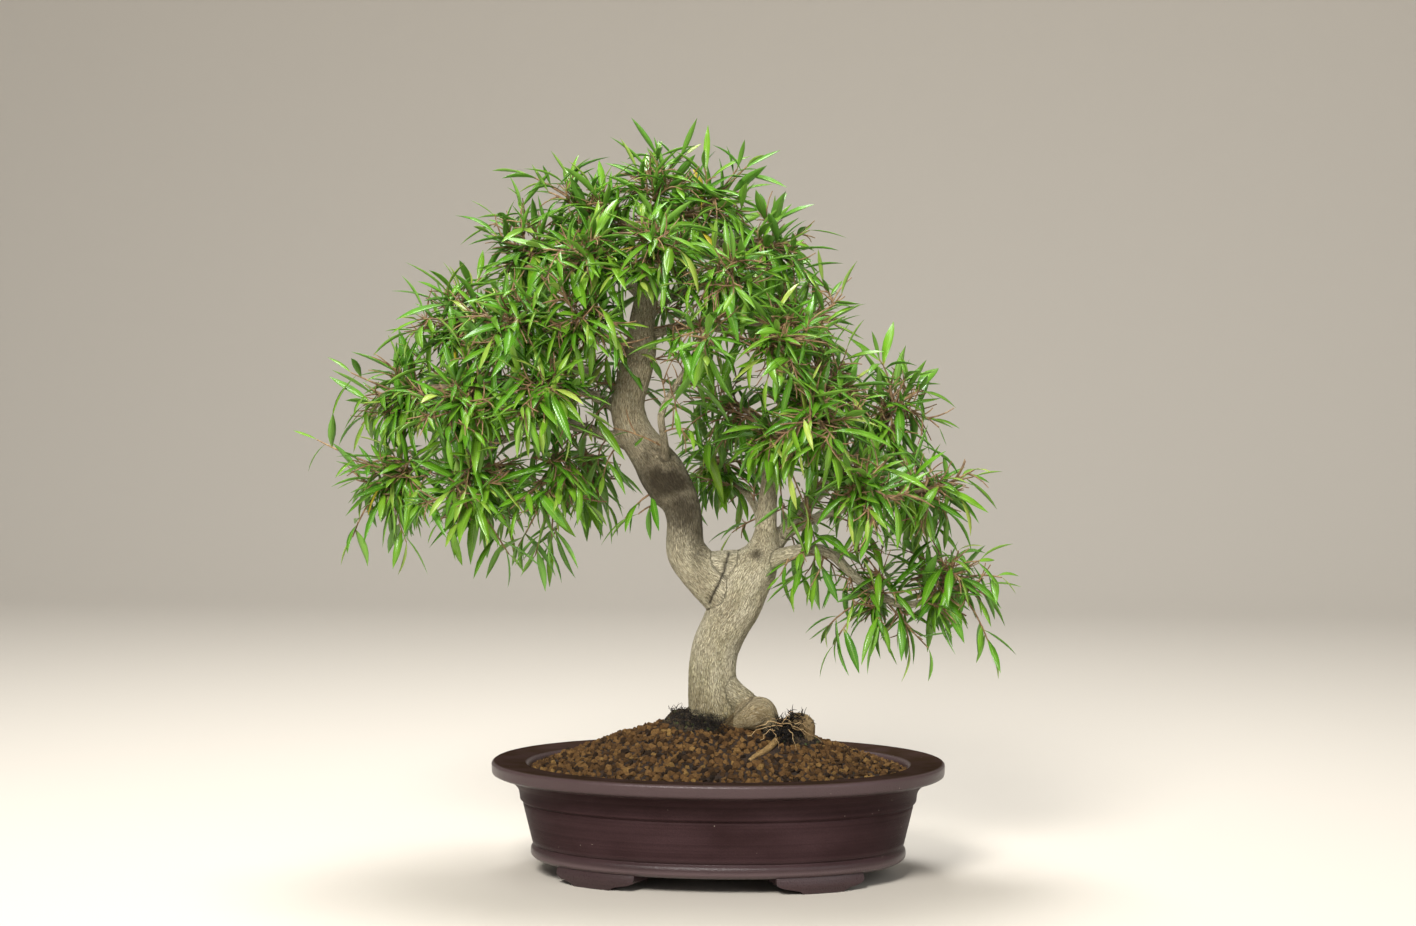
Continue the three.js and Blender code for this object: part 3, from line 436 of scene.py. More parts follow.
# Shoots that hang straight off a limb: share of the way along it, place of the tip, leaves
HANGING_SHOOTS = {
    "low_right": [
        (0.16, (54, -24, 252), 4), (0.24, (66, -30, 246), 5), (0.34, (80, -34, 244), 4),
        (0.3, (72, 14, 250), 4),
    ],
    "second": [(0.2, (62, 34, 268), 4)],
    "outer": [(0.2, (84, -34, 280), 5)],
    "LEADER": [(0.35, (-76, -14, 298), 5), (0.31, (-68, 8, 300), 3)],
    "low_left": [(0.1, (-92, -28, 334), 5), (0.16, (-104, 24, 340), 5)],
    "mid_left": [(0.12, (-102, -32, 374), 5), (0.2, (-98, 30, 402), 5)],
    "high_left": [(0.14, (-90, -34, 428), 5), (0.1, (-88, 26, 414), 4)],
}
STRAY_SEAT = 0.9  # share of the stem
STRAY_DEPTH = 0.6  # share of the depth of its bough's middle
STRAY_LEAFY_ROWS = 3  # of its path, at the tip
HANGING_SHOOT_HANG = 0.8
TWIG_SIDES = 4

# Leaves
SHOOT_LEAVES = (4, 7)
SIDE_SHOOT_LEAVES = (2, 5)
LEAFY_SHARE = 0.78  # of the shoot, from its tip
LEAF_CROWDING = 0.8  # below 1, leaves are closer together further down the shoot
LEAF_OPENING = (26, 86)  # degrees off the shoot, at the tip and at the lowest leaf
OPENING_SPREAD = (0.75, 1.25)
HANG_SPREAD = (0.3, 1.7)
FACE_ALONG = 0.4
FACE_UP = 0.8
TIP_LEAF_SIZE = 0.7
LEAF_SIZE_SPREAD = (0.8, 1.1)
LEAF_TONE = (0.62, 0.28)  # at the tip and at the lowest leaf
LEAF_TONE_SPREAD = 0.5
TIP_LEAF_TONE = 0.15
PALEST_GREEN = 0.94
LEAF_LENGTHS = (20, 49)
LEAF_HALF_WIDTH = 0.09  # share of the length
LEAF_BREADTHS = (0.62, 1.18)  # of that half width
HANG_PULL = 0.42
LEAF_STEPS = 7
VEINS = 60  # waves along a leaf, before they are stretched
VEIN_SLANT = 4
VEIN_STRETCH = 2.2
LEAF_SECTION_SIDES = 6
LEAF_SECTION_TURN = math.pi / 6
LEAF_THICKNESS = 0.12  # share of the half width
YELLOW_SHARE = 0.003
# Share of the length, share of the half width: a stalk, a lance-shaped blade and a long drawn-out tip
LEAF_OUTLINE = [
    (0, 0.15), (0.06, 0.14), (0.17, 0.58), (0.33, 0.93), (0.48, 1), (0.66, 0.88), (0.83, 0.5), (1, 0.02),
]
# Forms that leaves take: droop, sweep to the side and fold along the midrib as shares, twist in radians
BLADE_FORMS = [
    (0.06, 0.02, 0.25, 0.2), (0.16, -0.05, 0.40, -0.3), (0.27, 0.06, 0.30, 0.4), (0.38, 0.0, 0.22, -0.5),
    (0.10, 0.09, 0.55, 0.6), (0.20, -0.1, 0.18, 0.1), (-0.06, 0.04, 0.35, -0.2), (0.50, 0.05, 0.35, 0.3),
]


def seeded(seed):
    """Even random draws from 0 to 1, the same for the same seed."""
    whole = 0xFFFFFFFF
    state = seed & whole

    def draw():
        nonlocal state
        state = (state + 0x6D2B79F5) & whole
        t = ((state ^ (state >> 15)) * (1 | state)) & whole
        t = ((t + (((t ^ (t >> 7)) * (61 | t)) & whole)) & whole) ^ t
        return ((t ^ (t >> 14)) & whole) / (whole + 1)

    return draw


def between(pair, share):
    return pair[0] + (pair[1] - pair[0]) * share


def metres(points):
    """Millimetre points of the pot's frame as an array of metres in the row frame."""
    return np.asarray(points, float) * MM + np.array(POT_MIDDLE)


def show(mesh, name):
    piece = bpy.data.objects.new(name, mesh)
    bpy.context.scene.collection.objects.link(piece)
    return piece


def mesh_of(name, points, faces, edges=()):
    mesh = bpy.data.meshes.new(name)
    mesh.from_pydata([tuple(p) for p in metres(points)], list(edges), faces)
    mesh.shade_smooth()
    return mesh


def joined(shapes):
    """Points and faces of several shapes as one list of each."""
    points, faces = [], []
    for shape_points, shape_faces in shapes:
        faces += [tuple(i + len(points) for i in face) for face in shape_faces]
        points += shape_points
    return points, faces


def set_attribute(mesh, name, values, kind="FLOAT"):
    """Gives each point of the mesh its value of an attribute."""
    key = "vector" if kind == "FLOAT_VECTOR" else "value"
    number = np.int32 if kind == "INT" else np.float32
    made = mesh.attributes.new(name, kind, "POINT")
    made.data.foreach_set(key, np.asarray(values, number).ravel())


def baked(piece, name):
    """The piece as its modifiers leave it, as a plain mesh."""
    graph = bpy.context.evaluated_depsgraph_get()
    mesh = bpy.data.meshes.new_from_object(piece.evaluated_get(graph), depsgraph=graph)
    old = piece.data
    piece.modifiers.clear()
    piece.data = mesh
    mesh.name = name
    bpy.data.meshes.remove(old)
    return piece


def clad(mesh, finish):
    mesh.materials.clear()
    mesh.materials.append(finish)


def place_in(piece, slot, *nodes):
    """Rides the piece on the one body, and hides the solids that it stands in for."""
    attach(piece, "root")
    if nodes:
        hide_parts(*nodes)


# Nodes, for materials and for geometry


def feed(tree, node, inputs):
    """Gives a node its inputs. One that is another node's output is linked, a plain value is set."""
    for key, value in inputs.items():
        socket = node.inputs[key]
        if isinstance(value, bpy.types.NodeSocket):
            tree.links.new(value, socket)
        else:
            socket.default_value = value


def add(tree, kind, inputs=None, **settings):
    """A node with its settings and inputs."""
    node = tree.nodes.new(kind)
    for key, value in settings.items():
        setattr(node, key, value)
    feed(tree, node, inputs or {})
    return node


def maths(tree, operation, a, b=0.0):
    return add(tree, "ShaderNodeMath", {0: a, 1: b}, operation=operation).outputs[0]


def times(tree, a, b):
    return maths(tree, "MULTIPLY", a, b)


def plus(tree, a, b):
    return maths(tree, "ADD", a, b)


def minus(tree, a, b):
    return maths(tree, "SUBTRACT", a, b)


def height_of(tree, vector):
    return add(tree, "ShaderNodeSeparateXYZ", {0: vector}).outputs[2]


def linear(*levels):
    """A colour given in the 0 to 255 of a screen."""
    shares = [level / 255 for level in levels]
    return (*(c / 12.92 if c <= 0.04045 else ((c + 0.055) / 1.055) ** 2.4 for c in shares), 1)


def ramp(tree, factor, stops):
    """Colours along a factor. A stop is a place and a colour."""
    node = add(tree, "ShaderNodeValToRGB", {"Fac": factor})
    elements = node.color_ramp.elements
    while len(elements) < len(stops):
        elements.new(0.5)
    for element, (place, colour) in zip(elements, stops):
        element.position = place
        element.color = colour
    return node.outputs[0]


def tones(tree, factor, *stops):
    """Colours along a factor. A stop is a place, then red, green and blue."""
    return ramp(tree, factor, [(place, linear(*colour)) for place, *colour in stops])


def grey(tree, factor, *stops):
    """Levels along a factor. A stop is a place and a level."""
    return ramp(tree, factor, [(place, (level, level, level, 1)) for place, level in stops])


def by_height(tree, place, scale, *stops):
    """Levels by height over the ground. The place of a stop is metres times the scale."""
    return grey(tree, times(tree, height_of(tree, place), scale), *stops)


def mix(tree, factor, a, b, blend="MIX"):
    """A mix of two colours. Inputs 6 and 7 and output 2 are the node's colours."""
    inputs = {0: factor, 6: a, 7: b}
    return add(tree, "ShaderNodeMix", inputs, data_type="RGBA", blend_type=blend).outputs[2]


def coat(tree, under, cover, colour, strength=1.0):
    """A colour laid over another one, as strongly as its cover says."""
    return mix(tree, times(tree, cover, strength), under, linear(*colour))


def dapple(tree, under, levels, strength):
    """A colour made darker and lighter by levels."""
    return mix(tree, strength, under, levels, "MULTIPLY")


def cloud(tree, vector, scale, detail=2.0, roughness=0.5):
    inputs = {"Vector": vector, "Scale": scale, "Detail": detail, "Roughness": roughness}
    return add(tree, "ShaderNodeTexNoise", inputs).outputs["Fac"]


def stretched(tree, vector, scale):
    """Coordinates scaled along each axis. A pattern on them is long where the scale is small."""
    return add(tree, "ShaderNodeMapping", {"Vector": vector, "Scale": scale}).outputs[0]


def attribute(tree, name, output="Fac"):
    return add(tree, "ShaderNodeAttribute", attribute_name=name).outputs[output]


def coordinates(tree, kind="Object"):
    return add(tree, "ShaderNodeTexCoord").outputs[kind]


def bump(tree, height, depth):
    """A normal bent by a height. A height of 1 stands out as far as the depth, in millimetres."""
    return add(tree, "ShaderNodeBump", {"Height": height, "Distance": depth * MM}).outputs[0]


# Materials. Each gives the inputs of its shader


def leaf_looks(tree):
    tone, along, across, under = (attribute(tree, name) for name in ("tone", "along", "across", "under"))
    green = tones(
        tree, tone, (0.0, 50, 106, 12), (0.35, 76, 134, 18), (0.7, 106, 152, 32),
        (0.9, 134, 163, 60), (0.97, 164, 177, 78), (1.0, 210, 190, 52),
    )
    patches = grey(tree, cloud(tree, coordinates(tree), scale=90), (0.3, 0.82), (0.7, 1.14))
    mottled = dapple(tree, green, patches, strength=0.8)
    # The midrib is paler, and side veins run from it towards the tip
    off_middle = maths(tree, "ABSOLUTE", across)
    rib = grey(tree, off_middle, (0.05, 1), (0.14, 0))
    slanted = minus(tree, times(tree, along, VEINS), times(tree, off_middle, VEIN_SLANT))
    waves = maths(tree, "SINE", times(tree, slanted, VEIN_STRETCH))
    veins = plus(tree, times(tree, waves, 0.5), 0.5)
    veined = coat(tree, mottled, veins, (142, 184, 74), strength=0.12)
    ribbed = coat(tree, veined, rib, (146, 184, 78), strength=0.42)
    stalk = grey(tree, along, (0.06, 1), (0.13, 0))
    stalked = coat(tree, ribbed, stalk, (140, 132, 70), strength=0.75)
    below = grey(tree, under, (0.5, 0), (0.55, 1))
    paler = coat(tree, stalked, below, (108, 152, 70), strength=0.4)
    height = plus(tree, times(tree, rib, -1.0), times(tree, veins, -0.25))
    return {
        "Base Color": paler,
        "Roughness": grey(tree, below, (0, 0.27), (1, 0.5)),
        "Normal": bump(tree, height, depth=0.25),
        "Specular IOR Level": 0.52,
    }


def bark_looks(tree):
    """Grey bark with a fine net of dark flecks along the grain, damp at the foot and browner higher up."""
    place = coordinates(tree)
    grain = attribute(tree, "grain", "Vector")
    broad = cloud(tree, stretched(tree, grain, (55, 55, 22)), scale=1, detail=3)
    base = tones(tree, broad, (0.3, 168, 158, 132), (0.5, 197, 188, 160), (0.72, 217, 209, 184))
    green = grey(tree, cloud(tree, place, scale=34), (0.45, 0), (0.68, 0.42))
    low = by_height(tree, place, 2, (0.26, 1), (0.62, 0.15))
    greened = coat(tree, base, times(tree, green, low), (138, 136, 88))
    damp = by_height(tree, place, 5, (0.68, 0.6), (0.86, 0))
    damped = coat(tree, greened, damp, (122, 108, 68))
    brown = by_height(tree, place, 2, (0.56, 0), (0.66, 0.5), (0.9, 0.6))
    browned = coat(tree, damped, brown, (176, 156, 124), strength=0.6)
    streaks = cloud(tree, stretched(tree, grain, (1300, 1300, 230)), scale=1, detail=2, roughness=0.6)
    flecks = grey(tree, streaks, (0.5, 0), (0.6, 1))
    flecked = coat(tree, browned, flecks, (84, 74, 50), strength=0.52)
    net = {"Vector": stretched(tree, grain, (900, 900, 170)), "Scale": 1.0}
    cells = add(tree, "ShaderNodeTexVoronoi", net, feature="DISTANCE_TO_EDGE").outputs["Distance"]
    cracks = grey(tree, cells, (0.03, 1), (0.12, 0))
    cracked = coat(tree, flecked, cracks, (78, 68, 46), strength=0.34)
    plates = cloud(tree, stretched(tree, grain, (900, 900, 260)), scale=1.2)
    pale = grey(tree, plates, (0.56, 0), (0.68, 1))
    lit = coat(tree, cracked, pale, (226, 219, 194), strength=0.5)
    # Dark stains, and partly painted shade low on the leader where the crown shades it
    stained_and_shaded = coat(tree, lit, attribute(tree, "stain_and_shade"), (46, 38, 24))
    tanned = coat(tree, stained_and_shaded, attribute(tree, "tan"), (168, 134, 84))
    # Painted shade darkens the creases nearly to black
    crease_shaded = coat(tree, tanned, attribute(tree, "crease_shade"), (30, 24, 16))
    rise = minus(tree, pale, plus(tree, flecks, cracks))
    return {
        "Base Color": crease_shaded,
        "Roughness": 0.84,
        "Normal": bump(tree, rise, depth=0.6),
        "Specular IOR Level": 0.25,
    }


def twig_looks(tree):
    """Reddish brown young twigs, greyer where they are thick."""
    place = coordinates(tree)
    thick = grey(tree, times(tree, attribute(tree, "thickness"), 300.0), (0.2, 0), (0.75, 1))
    patches = cloud(tree, place, scale=220)
    young = tones(tree, patches, (0.35, 112, 84, 58), (0.55, 144, 114, 80), (0.75, 166, 142, 102))
    old = tones(tree, cloud(tree, place, scale=320, detail=3), (0.35, 104, 88, 68), (0.65, 160, 142, 114))
    return {
        "Base Color": mix(tree, thick, young, old),
        "Roughness": 0.7,
        "Normal": bump(tree, cloud(tree, place, scale=900), depth=0.4),
    }


def clay_looks(tree):
    """Satin purplish brown clay with fine pits and pale specks, soiled on top of the rim, with a painted
    highlight along the bead.
    """
    place = coordinates(tree)
    broad = cloud(tree, stretched(tree, place, (1, 1, 2.4)), scale=14, detail=3)
    body = tones(tree, broad, (0.3, 48, 33, 34), (0.7, 62, 45, 47))
    turned = cloud(tree, stretched(tree, place, (2.5, 2.5, 420)), scale=1)
    lined = dapple(tree, body, grey(tree, turned, (0.35, 0.78), (0.65, 1.2)), strength=0.5)
    fine = cloud(tree, place, scale=900, detail=2, roughness=0.6)
    grained = dapple(tree, lined, grey(tree, fine, (0.3, 0.7), (0.7, 1.25)), strength=0.35)
    rim = by_height(tree, place, 10, (0.82, 0), (0.88, 1))
    dusted = coat(tree, grained, rim, (80, 64, 65), strength=0.5)
    level = grey(tree, height_of(tree, coordinates(tree, "Normal")), (0.75, 0), (0.95, 1))
    rim_top = times(tree, level, rim)
    soil_dust = grey(tree, cloud(tree, place, scale=45, detail=3), (0.35, 0.6), (0.65, 1))
    soiled = coat(tree, dusted, times(tree, rim_top, soil_dust), (49, 37, 28))
    # Painted highlight: a pale band along the lower part of the bead
    bead_highlight = by_height(tree, place, 10, (0.135, 0), (0.152, 1), (0.175, 1), (0.2, 0))
    bead_highlighted = coat(tree, soiled, bead_highlight, (110, 92, 94), strength=0.5)
    dots = add(tree, "ShaderNodeTexVoronoi", {"Vector": place, "Scale": 190.0}).outputs["Distance"]
    specks = grey(tree, dots, (0.045, 1), (0.075, 0))
    chosen = grey(tree, cloud(tree, place, scale=60, detail=1), (0.62, 0), (0.66, 1))
    specked = coat(tree, bead_highlighted, times(tree, specks, chosen), (178, 164, 150))
    # The bead and the rim's edge are rubbed shiny, the wall between them is duller
    rubbed = by_height(
        tree, place, 10.0, (0.12, 0.6), (0.2, 0.5), (0.26, 0.2), (0.3, 0), (0.8, 0), (0.85, 0.5)
    )
    satin = minus(tree, grey(tree, fine, (0.3, 0.38), (0.7, 0.5)), times(tree, rubbed, 0.2))
    gloss = plus(tree, 0.03, times(tree, rubbed, 0.67))
    return {
        "Base Color": specked,
        "Roughness": plus(tree, satin, times(tree, rim_top, 0.35)),
        "Normal": bump(tree, plus(tree, fine, turned), depth=0.3),
        "Specular IOR Level": times(tree, gloss, minus(tree, 1.0, rim_top)),
    }


def grain_looks(tree):
    """Baked clay and lava granules: browns, with some ochre and some nearly black."""
    place = coordinates(tree)
    colour = tones(
        tree, attribute(tree, "tone"), (0.0, 34, 25, 18), (0.15, 56, 40, 24), (0.45, 88, 63, 36),
        (0.75, 103, 76, 44), (0.95, 111, 83, 48), (1.0, 130, 102, 58),
    )
    pits = grey(tree, cloud(tree, place, scale=650, detail=3, roughness=0.6), (0.3, 0.55), (0.7, 1.3))
    return {
        "Base Color": dapple(tree, colour, pits, strength=0.75),
        "Roughness": 0.95,
        "Normal": bump(tree, cloud(tree, place, scale=1100, detail=3, roughness=0.7), depth=0.8),
        "Specular IOR Level": 0.2,
    }


def soil_looks(tree):
    # Nearly black soil under the granules: its own dark colour, and painted shade in the gaps between the
    # granules
    place = coordinates(tree)
    patches = cloud(tree, place, scale=160, detail=3)
    return {
        "Base Color": tones(tree, patches, (0.3, 26, 18, 12), (0.7, 52, 35, 22)),
        "Roughness": 0.97,
        "Normal": bump(tree, cloud(tree, place, scale=500, detail=3), depth=2),
    }


def humus_looks(tree):
    """Nearly black humus with moss green in it."""
    tone = attribute(tree, "tone")
    colour = tones(tree, tone, (0.0, 22, 16, 11), (0.5, 46, 35, 24), (0.85, 58, 46, 30), (1, 62, 72, 34))
    return {
        "Base Color": colour,
        "Roughness": 0.95,
        "Normal": bump(tree, cloud(tree, coordinates(tree), scale=1200), depth=0.6),
    }


def root_looks(tree):
    patches = cloud(tree, coordinates(tree), scale=130, detail=3)
    return {
        "Base Color": tones(tree, patches, (0.3, 158, 124, 82), (0.7, 220, 192, 142)),
        "Roughness": 0.8,
    }


def screen_looks(tree):
    dust = grey(tree, cloud(tree, coordinates(tree), scale=240, detail=3), (0.45, 0), (0.7, 0.5))
    return {
        "Base Color": mix(tree, dust, linear(38, 38, 38), linear(96, 74, 52)),
        "Roughness": grey(tree, dust, (0, 0.5), (0.5, 0.8)),
    }


def floor_looks(tree):
    return {"Base Color": linear(198, 192, 182), "Roughness": 0.9}


def material(name, looks):
    made = bpy.data.materials.new(name)
    made.use_nodes = True
    tree = made.node_tree
    tree.nodes.clear()
    shader = add(tree, "ShaderNodeBsdfPrincipled")
    add(tree, "ShaderNodeOutputMaterial", {"Surface": shader.outputs[0]})
    feed(tree, shader, looks(tree))
    return made


LEAF = material("leaf", leaf_looks)
BARK = material("bark", bark_looks)
TWIG = material("twig_bark", twig_looks)
CLAY = material("clay", clay_looks)
GRAIN = material("granules", grain_looks)
SOIL = material("soil", soil_looks)
HUMUS = material("humus", humus_looks)
ROOT = material("fine_roots", root_looks)
SCREEN = material("screen", screen_looks)
FLOOR = material("floor", floor_looks)


# Pot


def filleted(section):
    """The section's points with each corner rounded by an arc of its own size."""
    corners = [Vector(row[:2]) for row in section]
    points = [corners[0]]
    for before, corner, after, row in zip(corners, corners[1:], corners[2:], section[1:]):
        back = before - corner
        ahead = after - corner
        cut = min(row[2], back.length * FILLET_SHARE, ahead.length * FILLET_SHARE)
        start = corner + back.normalized() * cut
        end = corner + ahead.normalized() * cut
        for step in range(FILLET_STEPS + 1):
            t = step / FILLET_STEPS
            points.append(start * (1 - t) ** 2 + corner * 2 * t * (1 - t) + end * t**2)
    return [*points, corners[-1]]


def outline(angle, inset, height):
    """A point of the rim's oval, drawn in by the inset."""
    c, s = math.cos(angle), math.sin(angle)
    power = 2 / RIM_SQUARENESS
    x = (RIM_HALF_LENGTH - inset) * math.copysign(abs(c) ** power, c)
    y = (RIM_HALF_WIDTH - inset) * math.copysign(abs(s) ** power, s)
    return (x, y, height)


def whole_turn(sides):
    return [2 * math.pi * i / sides for i in range(sides)]


def skin(rings, closed_ends=True):
    """Points and faces of a skin over rings of equal length. A flat cap closes each end."""
    sides = len(rings[0])
    points = [p for ring in rings for p in ring]
    faces = []
    for low in range(0, len(points) - sides, sides):
        high = low + sides
        for i in range(sides):
            k = (i + 1) % sides
            faces.append((low + i, low + k, high + k, high + i))
    if closed_ends:
        faces.append(tuple(reversed(range(sides))))
        faces.append(tuple(range(len(points) - sides, len(points))))
    return points, faces


def drain_plug(x):
    ring = [(x + DRAIN_RADIUS * math.cos(t), DRAIN_RADIUS * math.sin(t)) for t in whole_turn(DRAIN_SIDES)]
    return skin([[(*place, z) for place in ring] for z in DRAIN_CUT])


def foot(middle):
    turns = [2 * i / FOOT_TURNS - 1 for i in range(FOOT_TURNS + 1)]
    rings = []
    for height, share, lean in FOOT_LEVELS:
        angles = [math.radians(middle + t * share * FOOT_HALF_ANGLE) for t in turns]
        outer = [outline(a, FOOT_INSET + lean, height) for a in angles]
        inner = [outline(a, FOOT_INSET + FOOT_DEPTH, height) for a in reversed(angles)]
        rings.append(outer + inner)
    return skin(rings)


def combined(base, shapes, operation):
    """Joins or cuts the base with each of the shapes."""
    tools = [show(mesh_of("tool", *shape), "tool") for shape in shapes]
    for tool in tools:
        cut = base.modifiers.new("join", "BOOLEAN")
        cut.object = tool
        cut.operation = operation
        cut.solver = "MANIFOLD"
    baked(base, base.name)
    for tool in tools:
        mesh = tool.data
        bpy.data.objects.remove(tool)
        bpy.data.meshes.remove(mesh)


def make_pot():
    angles = whole_turn(POT_SIDES)
    rings = [[outline(a, inset, z) for a in angles] for inset, z in filleted(POT_SECTION)]
    pot = show(mesh_of("pot_clay", *skin(rings)), "pot_clay")
    combined(pot, [foot(middle) for middle in FOOT_ANGLES], "UNION")
    combined(pot, [drain_plug(x) for x in DRAIN_PLACES], "DIFFERENCE")
    clad(pot.data, CLAY)
    sharp_shading(pot, POT_SHARP_EDGE)
    place_in(pot, "clay", "pot")


def make_screens():
    """The two drain screens keep their solids, in plastic soiled by the grains."""
    for name in ("drain_screen_left", "drain_screen_right"):
        clad(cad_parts[name].data, SCREEN)


def sharp_shading(piece, degrees):
    """Smooth shading, but for edges that bend more than this."""
    shape = bmesh.new()
    shape.from_mesh(piece.data)
    for face in shape.faces:
        face.smooth = True
    for edge in shape.edges:
        bend = edge.calc_face_angle(0) if len(edge.link_faces) == 2 else math.pi
        edge.smooth = bend < math.radians(degrees)
    shape.to_mesh(piece.data)
    shape.free()


# Wood


def smooth_path(stations, steps=WOOD_STEPS):
    """A curve through the stations, as rows of x, y, z, radius."""
    rows = np.array(stations, float)
    ends = np.vstack([2 * rows[0] - rows[1], rows, 2 * rows[-1] - rows[-2]])
    t = np.linspace(0, 1, steps, endpoint=False)[:, None]
    spans = []
    for a, b, c, d in zip(ends, ends[1:], ends[2:], ends[3:]):
        bend = (2 * a - 5 * b + 4 * c - d) * t**2 + (3 * b - a - 3 * c + d) * t**3
        spans.append(0.5 * (2 * b + (c - a) * t + bend))
    return np.vstack([*spans, rows[-1:]])


def frames(path):
    """Unit vectors ahead, across and to the side all along a path, turning as little as they can."""
    ahead = np.gradient(path[:, :3], axis=0)
    ahead /= np.linalg.norm(ahead, axis=1)[:, None]
    across = np.zeros_like(ahead)
    hand = np.array((0.0, 1.0, 0.0))
    for i, way in enumerate(ahead):
        hand = hand - way * hand.dot(way)
        hand /= np.linalg.norm(hand)
        across[i] = hand
    return ahead, across, np.cross(ahead, across)


def tube(path):
    """Points and faces of a closed round tube along a path."""
    _, across, other = frames(path)
    turns = 2 * np.pi * np.arange(WOOD_SIDES) / WOOD_SIDES
    rings = []
    for row, a, b in zip(path, across, other):
        rings.append([row[:3] + row[3] * (a * math.cos(t) + b * math.sin(t)) for t in turns])
    return skin(rings)


def make_skin(paths):
    """One skin over all the wood, remeshed from its overlapping tubes."""
    wood = show(mesh_of("wood", *joined(tube(path) for path in paths)), "trunk_and_limbs")
    remesh = wood.modifiers.new("skin", "REMESH")
    remesh.mode = "VOXEL"
    remesh.voxel_size = SKIN_VOXEL * MM
    smoothing = wood.modifiers.new("smoothing", "SMOOTH")
    smoothing.iterations = SKIN_SMOOTHING
    smoothing.factor = SKIN_EASING
    return baked(wood, "trunk_and_limbs")


def vertex_rows(mesh, what):
    """The place or the normal of each vertex, as a row of an array."""
    values = np.zeros(len(mesh.vertices) * 3)
    mesh.vertices.foreach_get(what, values)
    return values.reshape(-1, 3)


def lumps(points, size):
    return np.array([noise.noise(Vector(p / size)) for p in points])


def make_wood():
    paths = [smooth_path(stations) for stations in (TRUNK, LEADER, SADDLE, *LIMBS.values(), *ROOTS)]
    wood = make_skin(paths)
    mesh = wood.data
    points = (vertex_rows(mesh, "co") - np.array(POT_MIDDLE)) / MM
    grain, fat = grain_of(points, paths)
    relief = bark_relief(grain, fat)
    crease_shade = np.zeros(len(points))
    for line, half_width, depth in CREASES:
        near = near_line(points, line, half_width)
        relief -= depth * near
        crease_shade = np.maximum(crease_shade, near * min(depth / DEEPEST_CREASE, 1))
    points = points + vertex_rows(mesh, "normal") * relief[:, None]
    mesh.vertices.foreach_set("co", metres(points).ravel())
    tan = np.zeros(len(points))
    for stations, strength in TANNED:
        tan = np.maximum(tan, strength * on_path(points, stations))
    set_attribute(mesh, "grain", grain * MM, "FLOAT_VECTOR")
    set_attribute(mesh, "stain_and_shade", stains_and_shade(points))
    set_attribute(mesh, "crease_shade", crease_shade * CREASE_SHADE)
    set_attribute(mesh, "tan", tan)
    mesh.shade_smooth()
    clad(mesh, BARK)
    place_in(wood, "bark", "trunk")


def bark_relief(grain, fat):
    """How far out each point of the bark goes, less on thin wood."""
    relief = np.zeros(len(grain))
    for i, (across, other, run) in enumerate(grain):
        for height, wide, long in BARK_RELIEF:
            relief[i] += height * noise.noise(Vector((across / wide, other / wide, run / long)))
    return relief * np.clip(fat / FULL_RELIEF_RADIUS, *RELIEF_LIMITS)


def stains_and_shade(points):
    """How dark each point is stained or shaded: at the foot, low on the leader and on the lump beside the
    foot. Low on the leader, under the knuckle, part of the darkness is painted shade from the crown.
    """
    right, height = points[:, 0], points[:, 2]
    big, small = (lumps(points, size) for size in RAGGED_SIZES)
    ragged = big + FINE_RAGGEDNESS * small
    below = (FOOT_STAIN_TOP - height + ragged * FOOT_STAIN_RAGGEDNESS) / FOOT_STAIN_EDGE
    dark = FOOT_STAIN * np.clip(below, 0, 1) * (right < FOOT_STAIN_RIGHT)
    for x, z, half_length, half_height, strength in STAINS_AND_SHADE:
        away = np.hypot((right - x) / half_length, (height - z) / half_height)
        inside = (STAIN_AND_SHADE_REACH - away + STAIN_AND_SHADE_RAGGEDNESS * ragged) / STAIN_AND_SHADE_EDGE
        dark = np.maximum(dark, strength * np.clip(inside, 0, 1))
    return np.maximum(dark, on_path(points, LUMP_ROOT[1:]) * np.clip(0.5 + 0.5 * ragged, *LUMP_STAIN))


def grain_of(points, paths):
    """How far off and along its own stick of wood each point is, and how fat that stick is there."""
    centres, radii, across, other, run = [], [], [], [], []
    for number, path in enumerate(paths):
        _, a, b = frames(path)
        steps = np.linalg.norm(np.diff(path[:, :3], axis=0), axis=1)
        centres.append(path[:, :3])
        radii.append(path[:, 3])
        across.append(a)
        other.append(b)
        run.append(np.concatenate([[0], np.cumsum(steps)]) + RUN_APART * number)
    centres, across, other = map(np.vstack, (centres, across, other))
    radii, run = map(np.concatenate, (radii, run))
    ahead = np.cross(across, other)
    grain = np.zeros_like(points)
    fat = np.zeros(len(points))
    for start in range(0, len(points), POINTS_AT_ONCE):
        part = slice(start, start + POINTS_AT_ONCE)
        away = np.linalg.norm(points[part][:, None] - centres[None], axis=2) - radii
        nearest = away.argmin(axis=1)
        off = points[part] - centres[nearest]
        for axis, way in enumerate((across, other, ahead)):
            grain[part, axis] = (off * way[nearest]).sum(axis=1)
        grain[part, 2] += run[nearest]
        fat[part] = radii[nearest]
    return grain, fat


def on_path(points, stations):
    """1 for points on the wood of one path, falling to 0 past its radius."""
    inside = np.zeros(len(points))
    for row in smooth_path(stations):
        away = np.linalg.norm(points - row[:3], axis=1) - row[3]
        inside = np.maximum(inside, np.clip(1 - (away - WOOD_SLACK) / WOOD_EDGE, 0, 1))
    return inside


